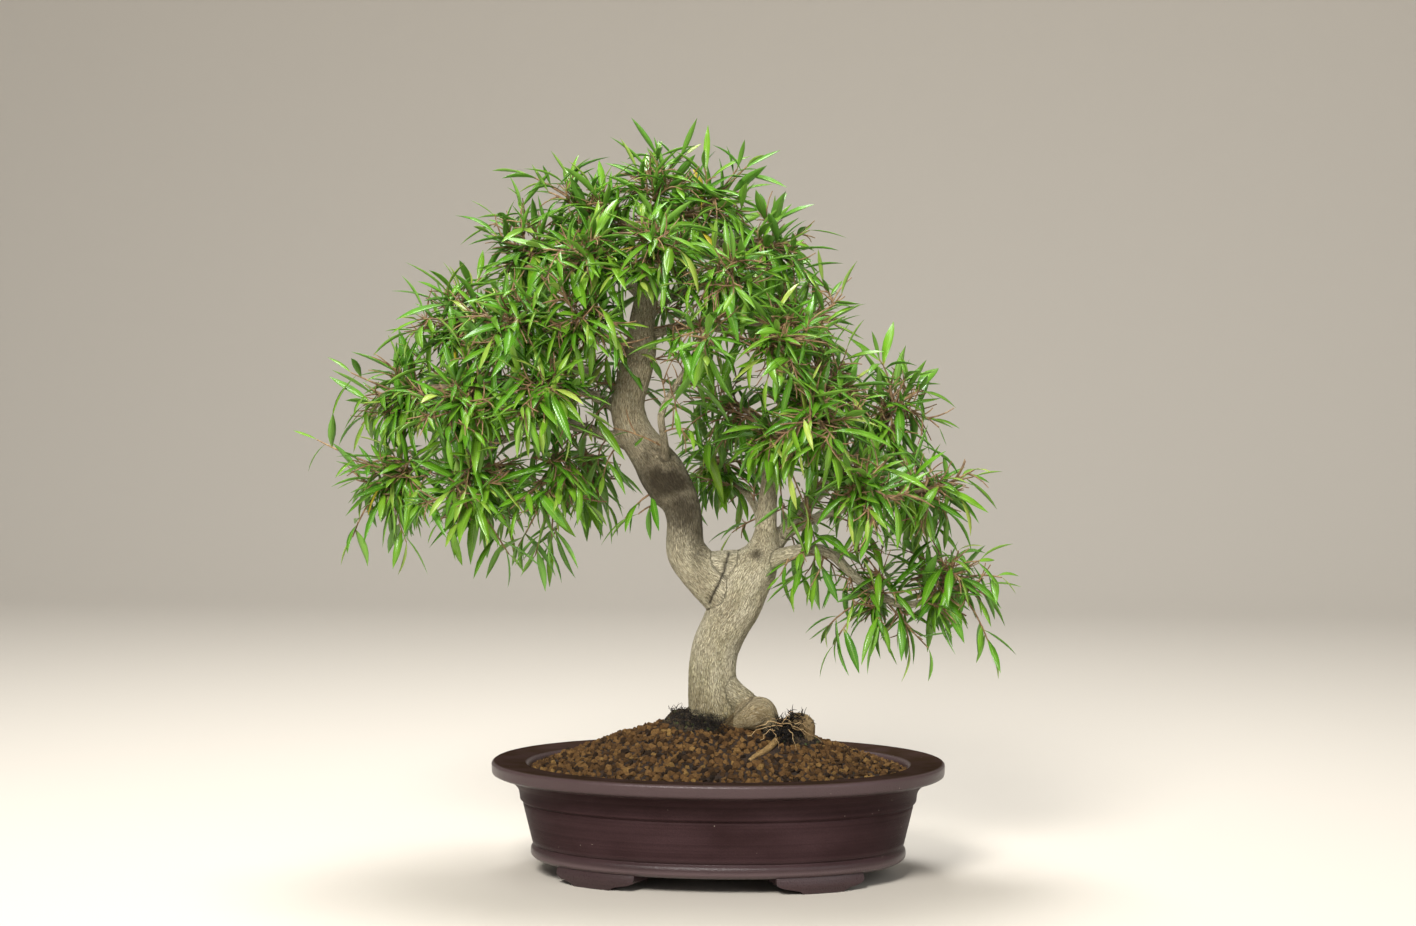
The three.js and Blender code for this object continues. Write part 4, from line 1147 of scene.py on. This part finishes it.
def near_line(points, line, half_width):
    """1 on the line as the front shows it, falling to 0 beside it. Only the front of the wood counts."""
    away = np.full(len(points), np.inf)
    flat = points[:, [0, 2]] + CREASE_WOBBLE * lumps(points, CREASE_WOBBLE_SIZE)[:, None]
    for a, b in zip(np.array(line), np.array(line)[1:]):
        t = np.clip(((flat - a) @ (b - a)) / ((b - a) @ (b - a)), 0, 1)
        away = np.minimum(away, np.linalg.norm(flat - a - t[:, None] * (b - a), axis=1))
    return np.exp(-((away / half_width) ** 2)) * (points[:, 1] < CREASE_FRONT)


# Growth of boughs, by the same rule as the solids


def along(path, share):
    """Place and direction a share of the way along rows of x, y, z."""
    places = [Vector(row[:3]) for row in path]
    spans = [(b - a).length for a, b in zip(places, places[1:])]
    left = share * sum(spans)
    i = 0
    while i < len(spans) - 1 and left > spans[i]:
        left -= spans[i]
        i += 1
    place = places[i].lerp(places[i + 1], min(left / spans[i], 1))
    return place, (places[i + 1] - places[i]).normalized()


def bearer(name):
    return {**LIMBS, "TRUNK": TRUNK, "LEADER": LEADER}[name]


def bow(start, middle, end, radii, steps):
    """A bowed path from start to end, pulled towards middle, as rows of x, y, z, radius."""
    rows = []
    for i in range(steps + 1):
        t = i / steps
        place = start * (1 - t) ** 2 + middle * 2 * t * (1 - t) + end * t**2
        rows.append((*place, between(radii, t)))
    return rows


def stem_path(limb, share, middle):
    place, direction = along(bearer(limb), share)
    end = Vector(middle)
    length = (end - place).length
    crest = place.lerp(end, 0.5) + direction * length * STEM_BOW_ALONG + UP * length * STEM_BOW_UP
    return bow(place, crest, end, (STEM_ROOT_RADIUS, STEM_TIP_RADIUS), STEM_STEPS)


def shoot_path(start, direction, end, hang):
    length = (end - start).length
    rise = SHOOT_BOW_UP - SHOOT_BOW_LOST * hang
    crest = start.lerp(end, SHOOT_CREST) + direction * length * SHOOT_BOW_ALONG + UP * length * rise
    return bow(start, crest, end, SHOOT_RADIUS, SHOOT_STEPS)


def outward(middle):
    """The direction that a bough grows in, away from the heart of the tree."""
    height = min(middle[2] - HEART_BELOW_BOUGH, TREE_HEART_HEIGHT)
    return (Vector(middle) - Vector((TREE_HEART_X, 0, height))).normalized()


def fanned(way, opening, turn):
    """A direction that opens off another one by an angle, turned round it."""
    side = way.cross(UP).normalized()
    other = way.cross(side)
    return way * math.cos(opening) + (side * math.cos(turn) + other * math.sin(turn)) * math.sin(opening)


class Growth:
    """Paths of twigs and places of leaves, gathered as they grow from one run of random draws."""

    def __init__(self):
        self.random = None
        self.twigs = []
        self.leaves = []

    def drawn(self, pair):
        return between(pair, self.random())

    def any_turn(self):
        return self.random() * 2 * math.pi

    def twig(self, path):
        self.twigs.append(path)
        return path

    def leafy_shoot(self, path, count, hang):
        """Leaves round a shoot from its tip down, the first of them smaller."""
        turn = self.any_turn()
        for k in range(count):
            at_tip = k == 0
            down = (k / count) ** LEAF_CROWDING
            place, direction = along(path, 1 - down * LEAFY_SHARE)
            opening = math.radians(between(LEAF_OPENING, down) * self.drawn(OPENING_SPREAD))
            way = fanned(direction, opening, turn + k * GOLDEN_ANGLE)
            way = (way - UP * hang * HANG_PULL * self.drawn(HANG_SPREAD)).normalized()
            face = direction * FACE_ALONG + UP * FACE_UP
            self.random()  # Passed over, so that the draws after it stay in their order
            size = TIP_LEAF_SIZE if at_tip else self.drawn(LEAF_SIZE_SPREAD)
            length = self.drawn(LEAF_LENGTHS) * size
            breadth = length * self.drawn(LEAF_BREADTHS)
            tone = between(LEAF_TONE, down) + LEAF_TONE_SPREAD * (self.random() - 0.5)
            tone = min(max(tone + TIP_LEAF_TONE * at_tip, 0), PALEST_GREEN)
            if self.random() < YELLOW_SHARE:
                tone = 1
            form = int(self.random() * len(BLADE_FORMS))
            self.leaves.append((place, way.normalized(), face, (length, breadth, length), tone, form))

    def bough(self, row, seed):
        name, limb, share, middle, radius, hang = row
        self.random = seeded(seed)
        stem = self.twig(stem_path(limb, share, middle))
        out = outward(middle)
        turn = self.any_turn()
        count = round(SHOOTS * (radius / USUAL_RADIUS) ** 3)
        for i in range(count):
            rank = (i + 0.5) / count
            way = fanned(out, math.radians(SHOOT_SPREAD) * math.sqrt(rank), turn + i * GOLDEN_ANGLE)
            way = (way - UP * hang * SHOOT_HANG).normalized()
            reach = radius * self.drawn(SHOOT_REACH) * (1 - INWARD_SHORTENING * rank)
            start, direction = along(stem, between(SHOOT_SEATS, (1 - rank) * self.drawn(SEAT_SPREAD)))
            self.shoot(start, direction, Vector(middle) + way * reach, hang)
        for x, height, leaves in STRAY_SHOOTS.get(name, []):
            start, direction = along(stem, STRAY_SEAT)
            tip = Vector((x, middle[1] * STRAY_DEPTH, height))
            path = self.twig(shoot_path(start, direction, tip, hang))
            self.leafy_shoot(path[-STRAY_LEAFY_ROWS:], leaves, hang)

    def shoot(self, start, direction, end, hang):
        """A shoot with its leaves, its own side shoots and its bare twigs."""
        path = self.twig(shoot_path(start, direction, end, hang))
        self.leafy_shoot(path, round(self.drawn(SHOOT_LEAVES)), hang)
        for _ in range(int(SIDE_SHOOTS + self.random())):
            self.side_shoot(path, (end - start).length, hang)
        self.bare_twigs(path)

    def side_shoot(self, path, length, hang):
        start, direction = along(path, self.drawn(SIDE_SHOOT_SEATS))
        opening = math.radians(self.drawn(SIDE_SHOOT_OPENING))
        way = fanned(direction, opening, self.any_turn())
        way = (way - UP * hang * SHOOT_HANG).normalized()
        self.short_shoot(start, direction, way, length * self.drawn(SIDE_SHOOT_LENGTH), hang)

    def short_shoot(self, start, direction, way, reach, hang):
        end = start + way * reach
        crest = start.lerp(end, 0.5) + direction * reach * SHORT_SHOOT_BOW
        twig = self.twig(bow(start, crest, end, SHORT_SHOOT_RADIUS, SHOOT_STEPS))
        self.leafy_shoot(twig, round(self.drawn(SIDE_SHOOT_LEAVES)), hang)
        self.bare_twigs(twig)

    def bare_twigs(self, path):
        count = BARE_TWIGS * (TWIGGY_SIDE if path[0][0] > TWIGGY_FROM_X else 1)
        for _ in range(int(count + self.random())):
            start, direction = along(path, self.drawn(BARE_TWIG_SEATS))
            opening = math.radians(self.drawn(SIDE_SHOOT_OPENING))
            reach = self.drawn(BARE_TWIG_LENGTH)
            end = start + fanned(direction, opening, self.any_turn()) * reach
            crest = start.lerp(end, 0.5) + direction * reach * BARE_TWIG_BOW
            self.twig(bow(start, crest, end, BARE_TWIG_RADIUS, BARE_TWIG_STEPS))

    def limb_shoots(self, limb, seed):
        """Short leafy shoots straight off a limb, all the way out, and those that hang from it."""
        self.random = seeded(seed)
        path = bearer(limb)
        length = sum(math.dist(a[:3], b[:3]) for a, b in zip(path, path[1:]))
        low, high = LIMB_SHOOT_SHARES
        count = int(length * (high - low) / LIMB_SHOOT_GAP)
        for i in range(count):
            start, direction = along(path, between(LIMB_SHOOT_SHARES, (i + self.random()) / count))
            if limb in ("TRUNK", "LEADER") and start.z < BARE_HEIGHT:
                continue
            way = fanned(direction, math.radians(self.drawn(LIMB_SHOOT_OPENING)), i * GOLDEN_ANGLE)
            self.short_shoot(start, direction, way, self.drawn(LIMB_SHOOT_LENGTH), LIMB_SHOOT_HANG)
        for share, tip, leaves in HANGING_SHOOTS.get(limb, []):
            start, direction = along(path, share)
            twig = self.twig(shoot_path(start, direction, Vector(tip), HANGING_SHOOT_HANG))
            self.leafy_shoot(twig, leaves, HANGING_SHOOT_HANG)


# Geometry node trees


def new_tree(name, inputs):
    """A geometry tree with named number inputs, as the tree and its entry node."""
    tree = bpy.data.node_groups.new(name, "GeometryNodeTree")
    for way in ("INPUT", "OUTPUT"):
        tree.interface.new_socket("Geometry", in_out=way, socket_type="NodeSocketGeometry")
    for label, value in inputs.items():
        kind = {int: "NodeSocketInt", float: "NodeSocketFloat"}[type(value)]
        tree.interface.new_socket(label, in_out="INPUT", socket_type=kind).default_value = value
    return tree, tree.nodes.new("NodeGroupInput")


def finished(tree, instances, finish, rounded=True):
    """Ends a geometry tree: what it made becomes a real mesh with a material."""
    real = add(tree, "GeometryNodeRealizeInstances", {"Geometry": instances}).outputs[0]
    shaded = {"Geometry": real, "Shade Smooth": rounded}
    smooth = add(tree, "GeometryNodeSetShadeSmooth", shaded).outputs[0]
    last = add(tree, "GeometryNodeSetMaterial", {"Geometry": smooth, "Material": finish}).outputs[0]
    tree.links.new(last, tree.nodes.new("NodeGroupOutput").inputs[0])
    return tree


def grown(piece, tree, values):
    """Runs a geometry tree on a piece and keeps the result as its plain mesh."""
    modifier = piece.modifiers.new(tree.name, "NODES")
    modifier.node_group = tree
    for item in tree.interface.items_tree:
        if item.in_out == "INPUT" and item.name in values:
            modifier[item.identifier] = values[item.name]
    return baked(piece, piece.name)


def named(tree, name, kind="FLOAT"):
    return add(tree, "GeometryNodeInputNamedAttribute", {"Name": name}, data_type=kind).outputs[0]


def stored(tree, geometry, name, value, domain="POINT"):
    inputs = {"Geometry": geometry, "Name": name, "Value": value}
    return add(tree, "GeometryNodeStoreNamedAttribute", inputs, domain=domain, data_type="FLOAT").outputs[0]


def combine(tree, x, y, z):
    return add(tree, "ShaderNodeCombineXYZ", {0: x, 1: y, 2: z}).outputs[0]


def random_value(tree, low, high, seed, kind="FLOAT"):
    """A random value for each point. Each kind has two inputs and one output of its own."""
    first = {"FLOAT_VECTOR": 0, "FLOAT": 2, "INT": 4}[kind]
    inputs = {"Seed": seed, first: low, first + 1: high}
    return add(tree, "FunctionNodeRandomValue", inputs, data_type=kind).outputs[first // 2]


def moved(tree, geometry, **inputs):
    return add(tree, "GeometryNodeSetPosition", {"Geometry": geometry, **inputs}).outputs[0]


def ring_of(tree, sides):
    return add(tree, "GeometryNodeCurvePrimitiveCircle", {"Resolution": sides, "Radius": 1.0}).outputs[0]


def swept(tree, rail, section, size):
    """A closed mesh of a section drawn along a rail."""
    inputs = {"Curve": rail, "Profile Curve": section, "Scale": size, "Fill Caps": True}
    return add(tree, "GeometryNodeCurveToMesh", inputs).outputs[0]


def midrib(tree, steps, droop, sweep, twist):
    """A line one unit long on +X that bends down and to the side, with its length marked on it."""
    line = add(tree, "GeometryNodeCurvePrimitiveLine", {"Start": (0, 0, 0), "End": (1, 0, 0)}).outputs[0]
    rail = add(tree, "GeometryNodeResampleCurve", {"Curve": line, "Count": steps}).outputs[0]
    t = add(tree, "GeometryNodeSplineParameter").outputs["Factor"]
    squared = maths(tree, "POWER", t, 2.0)
    bend = combine(tree, 0.0, times(tree, squared, sweep), times(tree, squared, -droop))
    tilt = {"Curve": moved(tree, rail, Offset=bend), "Tilt": times(tree, t, twist)}
    tilted = add(tree, "GeometryNodeSetCurveTilt", tilt).outputs[0]
    return stored(tree, tilted, "along", t), t


def lens(tree, thickness, fold):
    """The section of a leaf, folded along the midrib, with its sides and its underside marked on it."""
    ring = {"Geometry": ring_of(tree, LEAF_SECTION_SIDES), "Rotation": (0, 0, LEAF_SECTION_TURN)}
    turned = add(tree, "GeometryNodeTransform", ring).outputs[0]
    place = add(tree, "GeometryNodeInputPosition").outputs[0]
    x, y, _ = add(tree, "ShaderNodeSeparateXYZ", {0: place}).outputs
    across = maths(tree, "DIVIDE", x, math.cos(LEAF_SECTION_TURN))
    sides_down = times(tree, maths(tree, "ABSOLUTE", across), fold)
    raised = minus(tree, times(tree, y, thickness), sides_down)
    section = stored(tree, turned, "across", across)
    section = stored(tree, section, "under", maths(tree, "GREATER_THAN", y, 0.0))
    return moved(tree, section, Position=combine(tree, across, raised, 0.0))


def blade(tree, entry, droop, sweep, fold, twist):
    """A leaf one unit long on +X with its face up: a lens section drawn along a bent midrib."""
    rail, t = midrib(tree, entry.outputs["Steps"], droop, sweep, twist)
    section = lens(tree, entry.outputs["Thickness"], fold)
    width = add(tree, "ShaderNodeFloatCurve", {"Value": t})
    curve = width.mapping.curves[0]
    for share, level in LEAF_OUTLINE[1:-1]:
        curve.points.new(share, level)
    curve.points[0].location = LEAF_OUTLINE[0]
    curve.points[-1].location = LEAF_OUTLINE[-1]
    width.mapping.update()
    return swept(tree, rail, section, times(tree, width.outputs[0], entry.outputs["Half Width"]))


def one_of(tree, points, shapes, number, turn, size):
    """One of the shapes on each point, by its number. The first of them is number 0."""
    choice = tree.nodes.new("GeometryNodeJoinGeometry")
    for shape in reversed(shapes):
        held = add(tree, "GeometryNodeGeometryToInstance", {"Geometry": shape}).outputs[0]
        tree.links.new(held, choice.inputs[0])
    inputs = {
        "Points": points, "Instance": choice.outputs[0], "Pick Instance": True,
        "Instance Index": number, "Rotation": turn, "Scale": size,
    }
    return add(tree, "GeometryNodeInstanceOnPoints", inputs).outputs[0]


def foliage_tree():
    inputs = {"Steps": LEAF_STEPS, "Half Width": LEAF_HALF_WIDTH, "Thickness": LEAF_THICKNESS}
    tree, entry = new_tree("leaves_on_shoots", inputs)
    blades = [blade(tree, entry, *form) for form in BLADE_FORMS]
    way, face, size = (named(tree, name, "FLOAT_VECTOR") for name in ("way", "face", "size"))
    axes = {"Primary Axis": way, "Secondary Axis": face}
    turn = add(tree, "FunctionNodeAxesToRotation", axes, primary_axis="X", secondary_axis="Z").outputs[0]
    leaves = one_of(tree, entry.outputs["Geometry"], blades, named(tree, "form", "INT"), turn, size)
    return finished(tree, leaves, LEAF)


def stick_tree(name, finish):
    tree, entry = new_tree(name, {"Sides": TWIG_SIDES})
    rails = add(tree, "GeometryNodeMeshToCurve", {"Mesh": entry.outputs["Geometry"]}).outputs[0]
    sticks = swept(tree, rails, ring_of(tree, entry.outputs["Sides"]), named(tree, "thickness"))
    return finished(tree, sticks, finish)


def grain_tree(name, finish):
    """Granules over a surface: each is the hull of a few points shaken round a ball."""
    sizes = {"Spacing": GRAIN_SPACING * MM, "Size": GRAIN_SIZE * MM}
    tree, entry = new_tree(name, {**sizes, "Corners": GRAIN_CORNERS, "Seed": GRAIN_SEED})
    spread = {
        "Mesh": entry.outputs["Geometry"], "Distance Min": entry.outputs["Spacing"],
        "Density Max": GRAIN_DENSITY, "Seed": entry.outputs["Seed"], "Density Factor": named(tree, "cover"),
    }
    scatter = add(tree, "GeometryNodeDistributePointsOnFaces", spread, distribute_method="POISSON")
    shapes = []
    for number, shape in enumerate(GRAIN_SHAPES):
        loose = random_value(tree, (-1, -1, -1), (1, 1, 1), GRAIN_SHAPE_SEED + number, "FLOAT_VECTOR")
        ball = add(tree, "ShaderNodeVectorMath", {0: loose}, operation="NORMALIZE").outputs[0]
        stretch = {0: ball, 1: combine(tree, *shape)}
        places = add(tree, "ShaderNodeVectorMath", stretch, operation="MULTIPLY").outputs[0]
        cluster = {"Count": entry.outputs["Corners"], "Position": places}
        corners = add(tree, "GeometryNodePoints", cluster).outputs[0]
        shapes.append(add(tree, "GeometryNodeConvexHull", {"Geometry": corners}).outputs[0])
    turn = random_value(tree, (0, 0, 0), (GRAIN_TURN,) * 3, GRAIN_TURN_SEED, "FLOAT_VECTOR")
    big = maths(tree, "POWER", random_value(tree, 0.0, 1.0, GRAIN_SIZE_SEED), GRAIN_RARITY)
    share = plus(tree, GRAIN_SMALLEST, times(tree, big, GRAIN_SIZE_RANGE))
    size = times(tree, entry.outputs["Size"], share)
    number = random_value(tree, 0, len(GRAIN_SHAPES) - 1, GRAIN_PICK_SEED, "INT")
    grains = one_of(tree, scatter.outputs[0], shapes, number, turn, combine(tree, size, size, size))
    toned = stored(tree, grains, "tone", random_value(tree, 0.0, 1.0, GRAIN_TONE_SEED), "INSTANCE")
    return finished(tree, toned, finish, rounded=False)


# Crown


def make_foliage(name, leaves, tree, node):
    places, ways, faces, sizes, tone_levels, forms = zip(*leaves)
    mesh = mesh_of(name, places, [])
    set_attribute(mesh, "way", ways, "FLOAT_VECTOR")
    set_attribute(mesh, "face", faces, "FLOAT_VECTOR")
    set_attribute(mesh, "size", np.array(sizes) * MM, "FLOAT_VECTOR")
    set_attribute(mesh, "tone", tone_levels)
    set_attribute(mesh, "form", forms, "INT")
    piece = grown(show(mesh, name), tree, {"Steps": LEAF_STEPS})
    place_in(piece, "leaf", node)


def make_sticks(name, paths, tree, sides, slot, *nodes):
    """Thin round sticks along paths."""
    points, edges, thickness = [], [], []
    for path in paths:
        start = len(points)
        points += [row[:3] for row in path]
        thickness += [row[3] * MM for row in path]
        edges += [(i, i + 1) for i in range(start, len(points) - 1)]
    mesh = mesh_of(name, points, [], edges)
    set_attribute(mesh, "thickness", thickness)
    piece = grown(show(mesh, name), tree, {"Sides": sides})
    place_in(piece, slot, *nodes)


def make_crown():
    leaves_on_shoots = foliage_tree()
    twigs_on_paths = stick_tree("twigs_along_paths", TWIG)
    nodes, twigs = {}, {}
    for number, row in enumerate(BOUGHS):
        name, limb = row[:2]
        growth = Growth()
        growth.bough(row, FIRST_SEED + number)
        if limb not in twigs:
            growth.limb_shoots(limb, FIRST_LIMB_SEED + number)
        node = f"bough_{name}"
        make_foliage(f"foliage_{name}", growth.leaves, leaves_on_shoots, node)
        nodes.setdefault(limb, []).append(node)
        twigs.setdefault(limb, []).extend(growth.twigs)
    for limb, paths in twigs.items():
        make_sticks(f"twigs_{limb.lower()}", paths, twigs_on_paths, TWIG_SIDES, "bark", *nodes[limb])


# Soil


def mound(share):
    """Height of the mound, from its top to its edge."""
    return SOIL_EDGE + MOUND_RISE * (1 - share**MOUND_ROUNDNESS)


def soil_point(share, angle):
    x, y, _ = outline(angle, SOIL_EDGE_INSET + SOIL_GAP, 0)
    x = x * share + MOUND_TOP_X * (1 - share)
    y = y * share
    fade = min(1, SOIL_LUMP_FADE * (1 - share))
    lump = noise.noise(Vector((x, y, 0)) / SOIL_LUMP_SIZE) * SOIL_LUMP * fade
    return (x, y, mound(share) + lump)


def soil_height(x, y):
    """Height of the mound over a place, found by halving."""
    low, high = SHARES_TRIED
    for _ in range(HALVINGS):
        share = (low + high) / 2
        across = (x - MOUND_TOP_X * (1 - share)) / share / (RIM_HALF_LENGTH - SOIL_EDGE_INSET)
        deep = y / share / (RIM_HALF_WIDTH - SOIL_EDGE_INSET)
        if abs(across) ** RIM_SQUARENESS + abs(deep) ** RIM_SQUARENESS > 1:
            low = share
        else:
            high = share
    return mound(share)


def bare_of_granules(points):
    """1 where humus or a root hides the granules, 0 where they show."""
    covered = np.zeros(len(points))
    for x, y, half_length, half_width, _ in HUMUS_HEAPS:
        away = np.hypot((points[:, 0] - x) / half_length, (points[:, 1] - y) / half_width)
        covered = np.maximum(covered, np.clip((HEAP_COVER - away) / HEAP_COVER_EDGE, 0, 1))
    for row in smooth_path(SURFACE_ROOT[1:]):
        away = np.linalg.norm(points - row[:3], axis=1)
        covered = np.maximum(covered, np.clip((row[3] + ROOT_COVER - away) / ROOT_COVER_EDGE, 0, 1))
    return covered


def make_soil():
    angles = whole_turn(SOIL_SIDES)
    top = [[soil_point((i + 1) / SOIL_RINGS, a) for a in angles] for i in range(SOIL_RINGS)]
    wall = [[outline(a, inset + SOIL_GAP, z) for a in angles] for inset, z in SOIL_WALL]
    soil = show(mesh_of("soil_mass", *skin([*reversed(wall), *reversed(top)])), "soil_mass")
    clad(soil.data, SOIL)
    place_in(soil, "grains", "soil")
    points, faces = skin(list(reversed(top)), closed_ends=False)
    flat = np.array(points)
    off_trunk = np.hypot(flat[:, 0] - TRUNK_FOOT_X, flat[:, 1]) - TRUNK_FOOT_RADIUS
    cover = mesh_of("granules", points, faces)
    shown = (1 - bare_of_granules(flat)) * np.clip(off_trunk / TRUNK_FOOT_EDGE, 0, 1)
    set_attribute(cover, "cover", shown)
    tree = grain_tree("granules_on_soil", GRAIN)
    place_in(grown(show(cover, "granules"), tree, {"Seed": GRAIN_SEED}), "grains")


def heap(x, y, half_length, half_width, height):
    """A low heap on the soil, sunk into it round its edge."""
    rings = []
    for share, skirt in [(1, HEAP_SKIRT)] + [(k / HEAP_RINGS, 0) for k in range(HEAP_RINGS, 0, -1)]:
        ring = []
        for turn in whole_turn(HEAP_SIDES):
            right = x + half_length * share * math.cos(turn)
            back = y + half_width * share * math.sin(turn)
            place = Vector((right, back, 0))
            rise = height * (1 - share**2) ** HEAP_ROUNDNESS - HEAP_SINK * share**2 - skirt
            lump = noise.noise(place / HEAP_LUMP_SIZE) * HEAP_LUMP * (1 - share**4)
            place.z = soil_height(place.x, place.y) + rise + lump
            ring.append(tuple(place))
        rings.append(ring)
    return skin(rings)


def make_humus():
    """Heaps of dark humus at the trunk's foot, with crumbs all over them, by the granules' rule."""
    points, faces = joined(heap(*spot) for spot in HUMUS_HEAPS)
    bank = show(mesh_of("humus_bank", points, faces), "humus_bank")
    clad(bank.data, HUMUS)
    place_in(bank, "grains")
    cover = mesh_of("humus_crumbs", points, faces)
    bare = np.array([z - soil_height(x, y) for x, y, z in points])
    set_attribute(cover, "cover", np.clip((bare - CRUMBS_FROM) / CRUMBS_EDGE, 0, 1))
    values = {"Spacing": CRUMB_SPACING * MM, "Size": CRUMB_SIZE * MM, "Seed": GRAIN_SEED}
    tree = grain_tree("crumbs_on_humus", HUMUS)
    place_in(grown(show(cover, "humus_crumbs"), tree, values), "grains")


def shaken(random, *middles):
    """A vector of three draws, with a middle taken off each."""
    return Vector([random() - middle for middle in middles])


def fibre(random, place, spread, length, radius):
    turn = random() * 2 * math.pi
    off = spread * math.sqrt(random())
    start = Vector((place[0] + off * math.cos(turn), place[1] + off * math.sin(turn) * TUFT_FLATNESS, 0))
    ground = soil_height(start.x, start.y)
    start.z = ground + max(place[2] - ground, 0) * random()
    way = Vector((random() - 0.5, random() - 0.8, random() * 0.6 - 0.1)).normalized()
    tip = start + way * length * between(FIBRE_REACH, random())
    crest = start.lerp(tip, 0.5) + shaken(random, 0.5, 0.5, 0.3) * length * FIBRE_BOW
    return bow(start, crest, tip, (radius, radius * FIBRE_TIP), FIBRE_STEPS)


def fine_root(random, start, tip, radius):
    rows = []
    for i in range(FINE_ROOT_STEPS + 1):
        t = i / FINE_ROOT_STEPS
        place = Vector(start).lerp(Vector(tip), t) + shaken(random, 0.5, 0.5, 0.5) * ROOT_WOBBLE
        place.z += FINE_ROOT_RISE * math.sin(math.pi * t)
        rows.append((*place, radius * (1 - FINE_ROOT_TAPER * t)))
    return [tuple(row) for row in smooth_path(rows, FINE_ROOT_SMOOTHING)]


def make_litter():
    """Moss, dark fibres and fine pale roots at the trunk's foot."""
    random = seeded(TUFT_SEED)
    fibres = []
    for place, spread, count, length, radius in TUFTS:
        fibres += [fibre(random, place, spread, length, radius) for _ in range(count)]
    roots = [fine_root(random, *row) for row in FINE_ROOTS]
    make_sticks("moss_and_fibres", fibres, stick_tree("fibres_along_paths", HUMUS), FIBRE_SIDES, "grains")
    make_sticks("fine_roots", roots, stick_tree("roots_along_paths", ROOT), FINE_ROOT_SIDES, "bark")


# Stage, lights and camera


def aimed(thing, place, way):
    """Puts a camera or a lamp at a place in metres, turned to look along a direction."""
    holder = bpy.data.objects.new(thing.name, thing)
    bpy.context.scene.collection.objects.link(holder)
    holder.location = place
    holder.rotation_mode = "QUATERNION"
    holder.rotation_quaternion = way.to_track_quat("-Z", "Y")
    return holder


def make_camera():
    camera = bpy.data.cameras.new("camera")
    camera.sensor_width = SENSOR_WIDTH
    camera.lens = PHOTO_FOCUS / PHOTO_WIDTH * SENSOR_WIDTH
    camera.clip_end = CAMERA_REACH
    flat = math.cos(CAMERA_DIP)
    left, ahead = math.sin(CAMERA_AZIMUTH) * flat, math.cos(CAMERA_AZIMUTH) * flat
    way = Vector((-left, ahead, -math.sin(CAMERA_DIP)))
    bpy.context.scene.camera = aimed(camera, metres(CAMERA_PLACE), way)


def make_lamp(name, place, aim, size, watts, colour):
    lamp = bpy.data.lights.new(name, "AREA")
    lamp.size = size
    lamp.energy = watts
    lamp.color = colour
    aimed(lamp, place, Vector(aim) - Vector(place))


def make_floor():
    """A floor that bends up into a wall behind the pot."""
    profile = [(FLOOR_FRONT, 0), (BEND_START, 0)]
    for turn in np.linspace(FIRST_BEND, math.pi / 2, BEND_STEPS):
        back = BEND_START + BEND_RADIUS * math.sin(turn)
        profile.append((back, BEND_RADIUS - BEND_RADIUS * math.cos(turn)))
    profile.append((BEND_START + BEND_RADIUS, WALL_TOP))
    points = [(x, y, z) for y, z in profile for x in (-FLOOR_HALF_WIDTH, FLOOR_HALF_WIDTH)]
    faces = [(i, i + 1, i + 3, i + 2) for i in range(0, len(points) - 2, 2)]
    floor = bpy.data.meshes.new("floor")
    floor.from_pydata(points, [], faces)
    floor.shade_smooth()
    clad(floor, FLOOR)
    show(floor, "floor")


def make_sky():
    world = bpy.data.worlds.new("studio")
    world.use_nodes = True
    background = world.node_tree.nodes["Background"]
    background.inputs["Color"].default_value = SKY_COLOUR
    background.inputs["Strength"].default_value = SKY_STRENGTH
    bpy.context.scene.world = world
    bpy.context.scene.view_settings.view_transform = "Standard"


make_camera()
make_floor()
make_sky()
for name, row in LAMPS.items():
    make_lamp(name, *row)
make_pot()
make_screens()
make_wood()
make_soil()
make_humus()
make_litter()
make_crown()
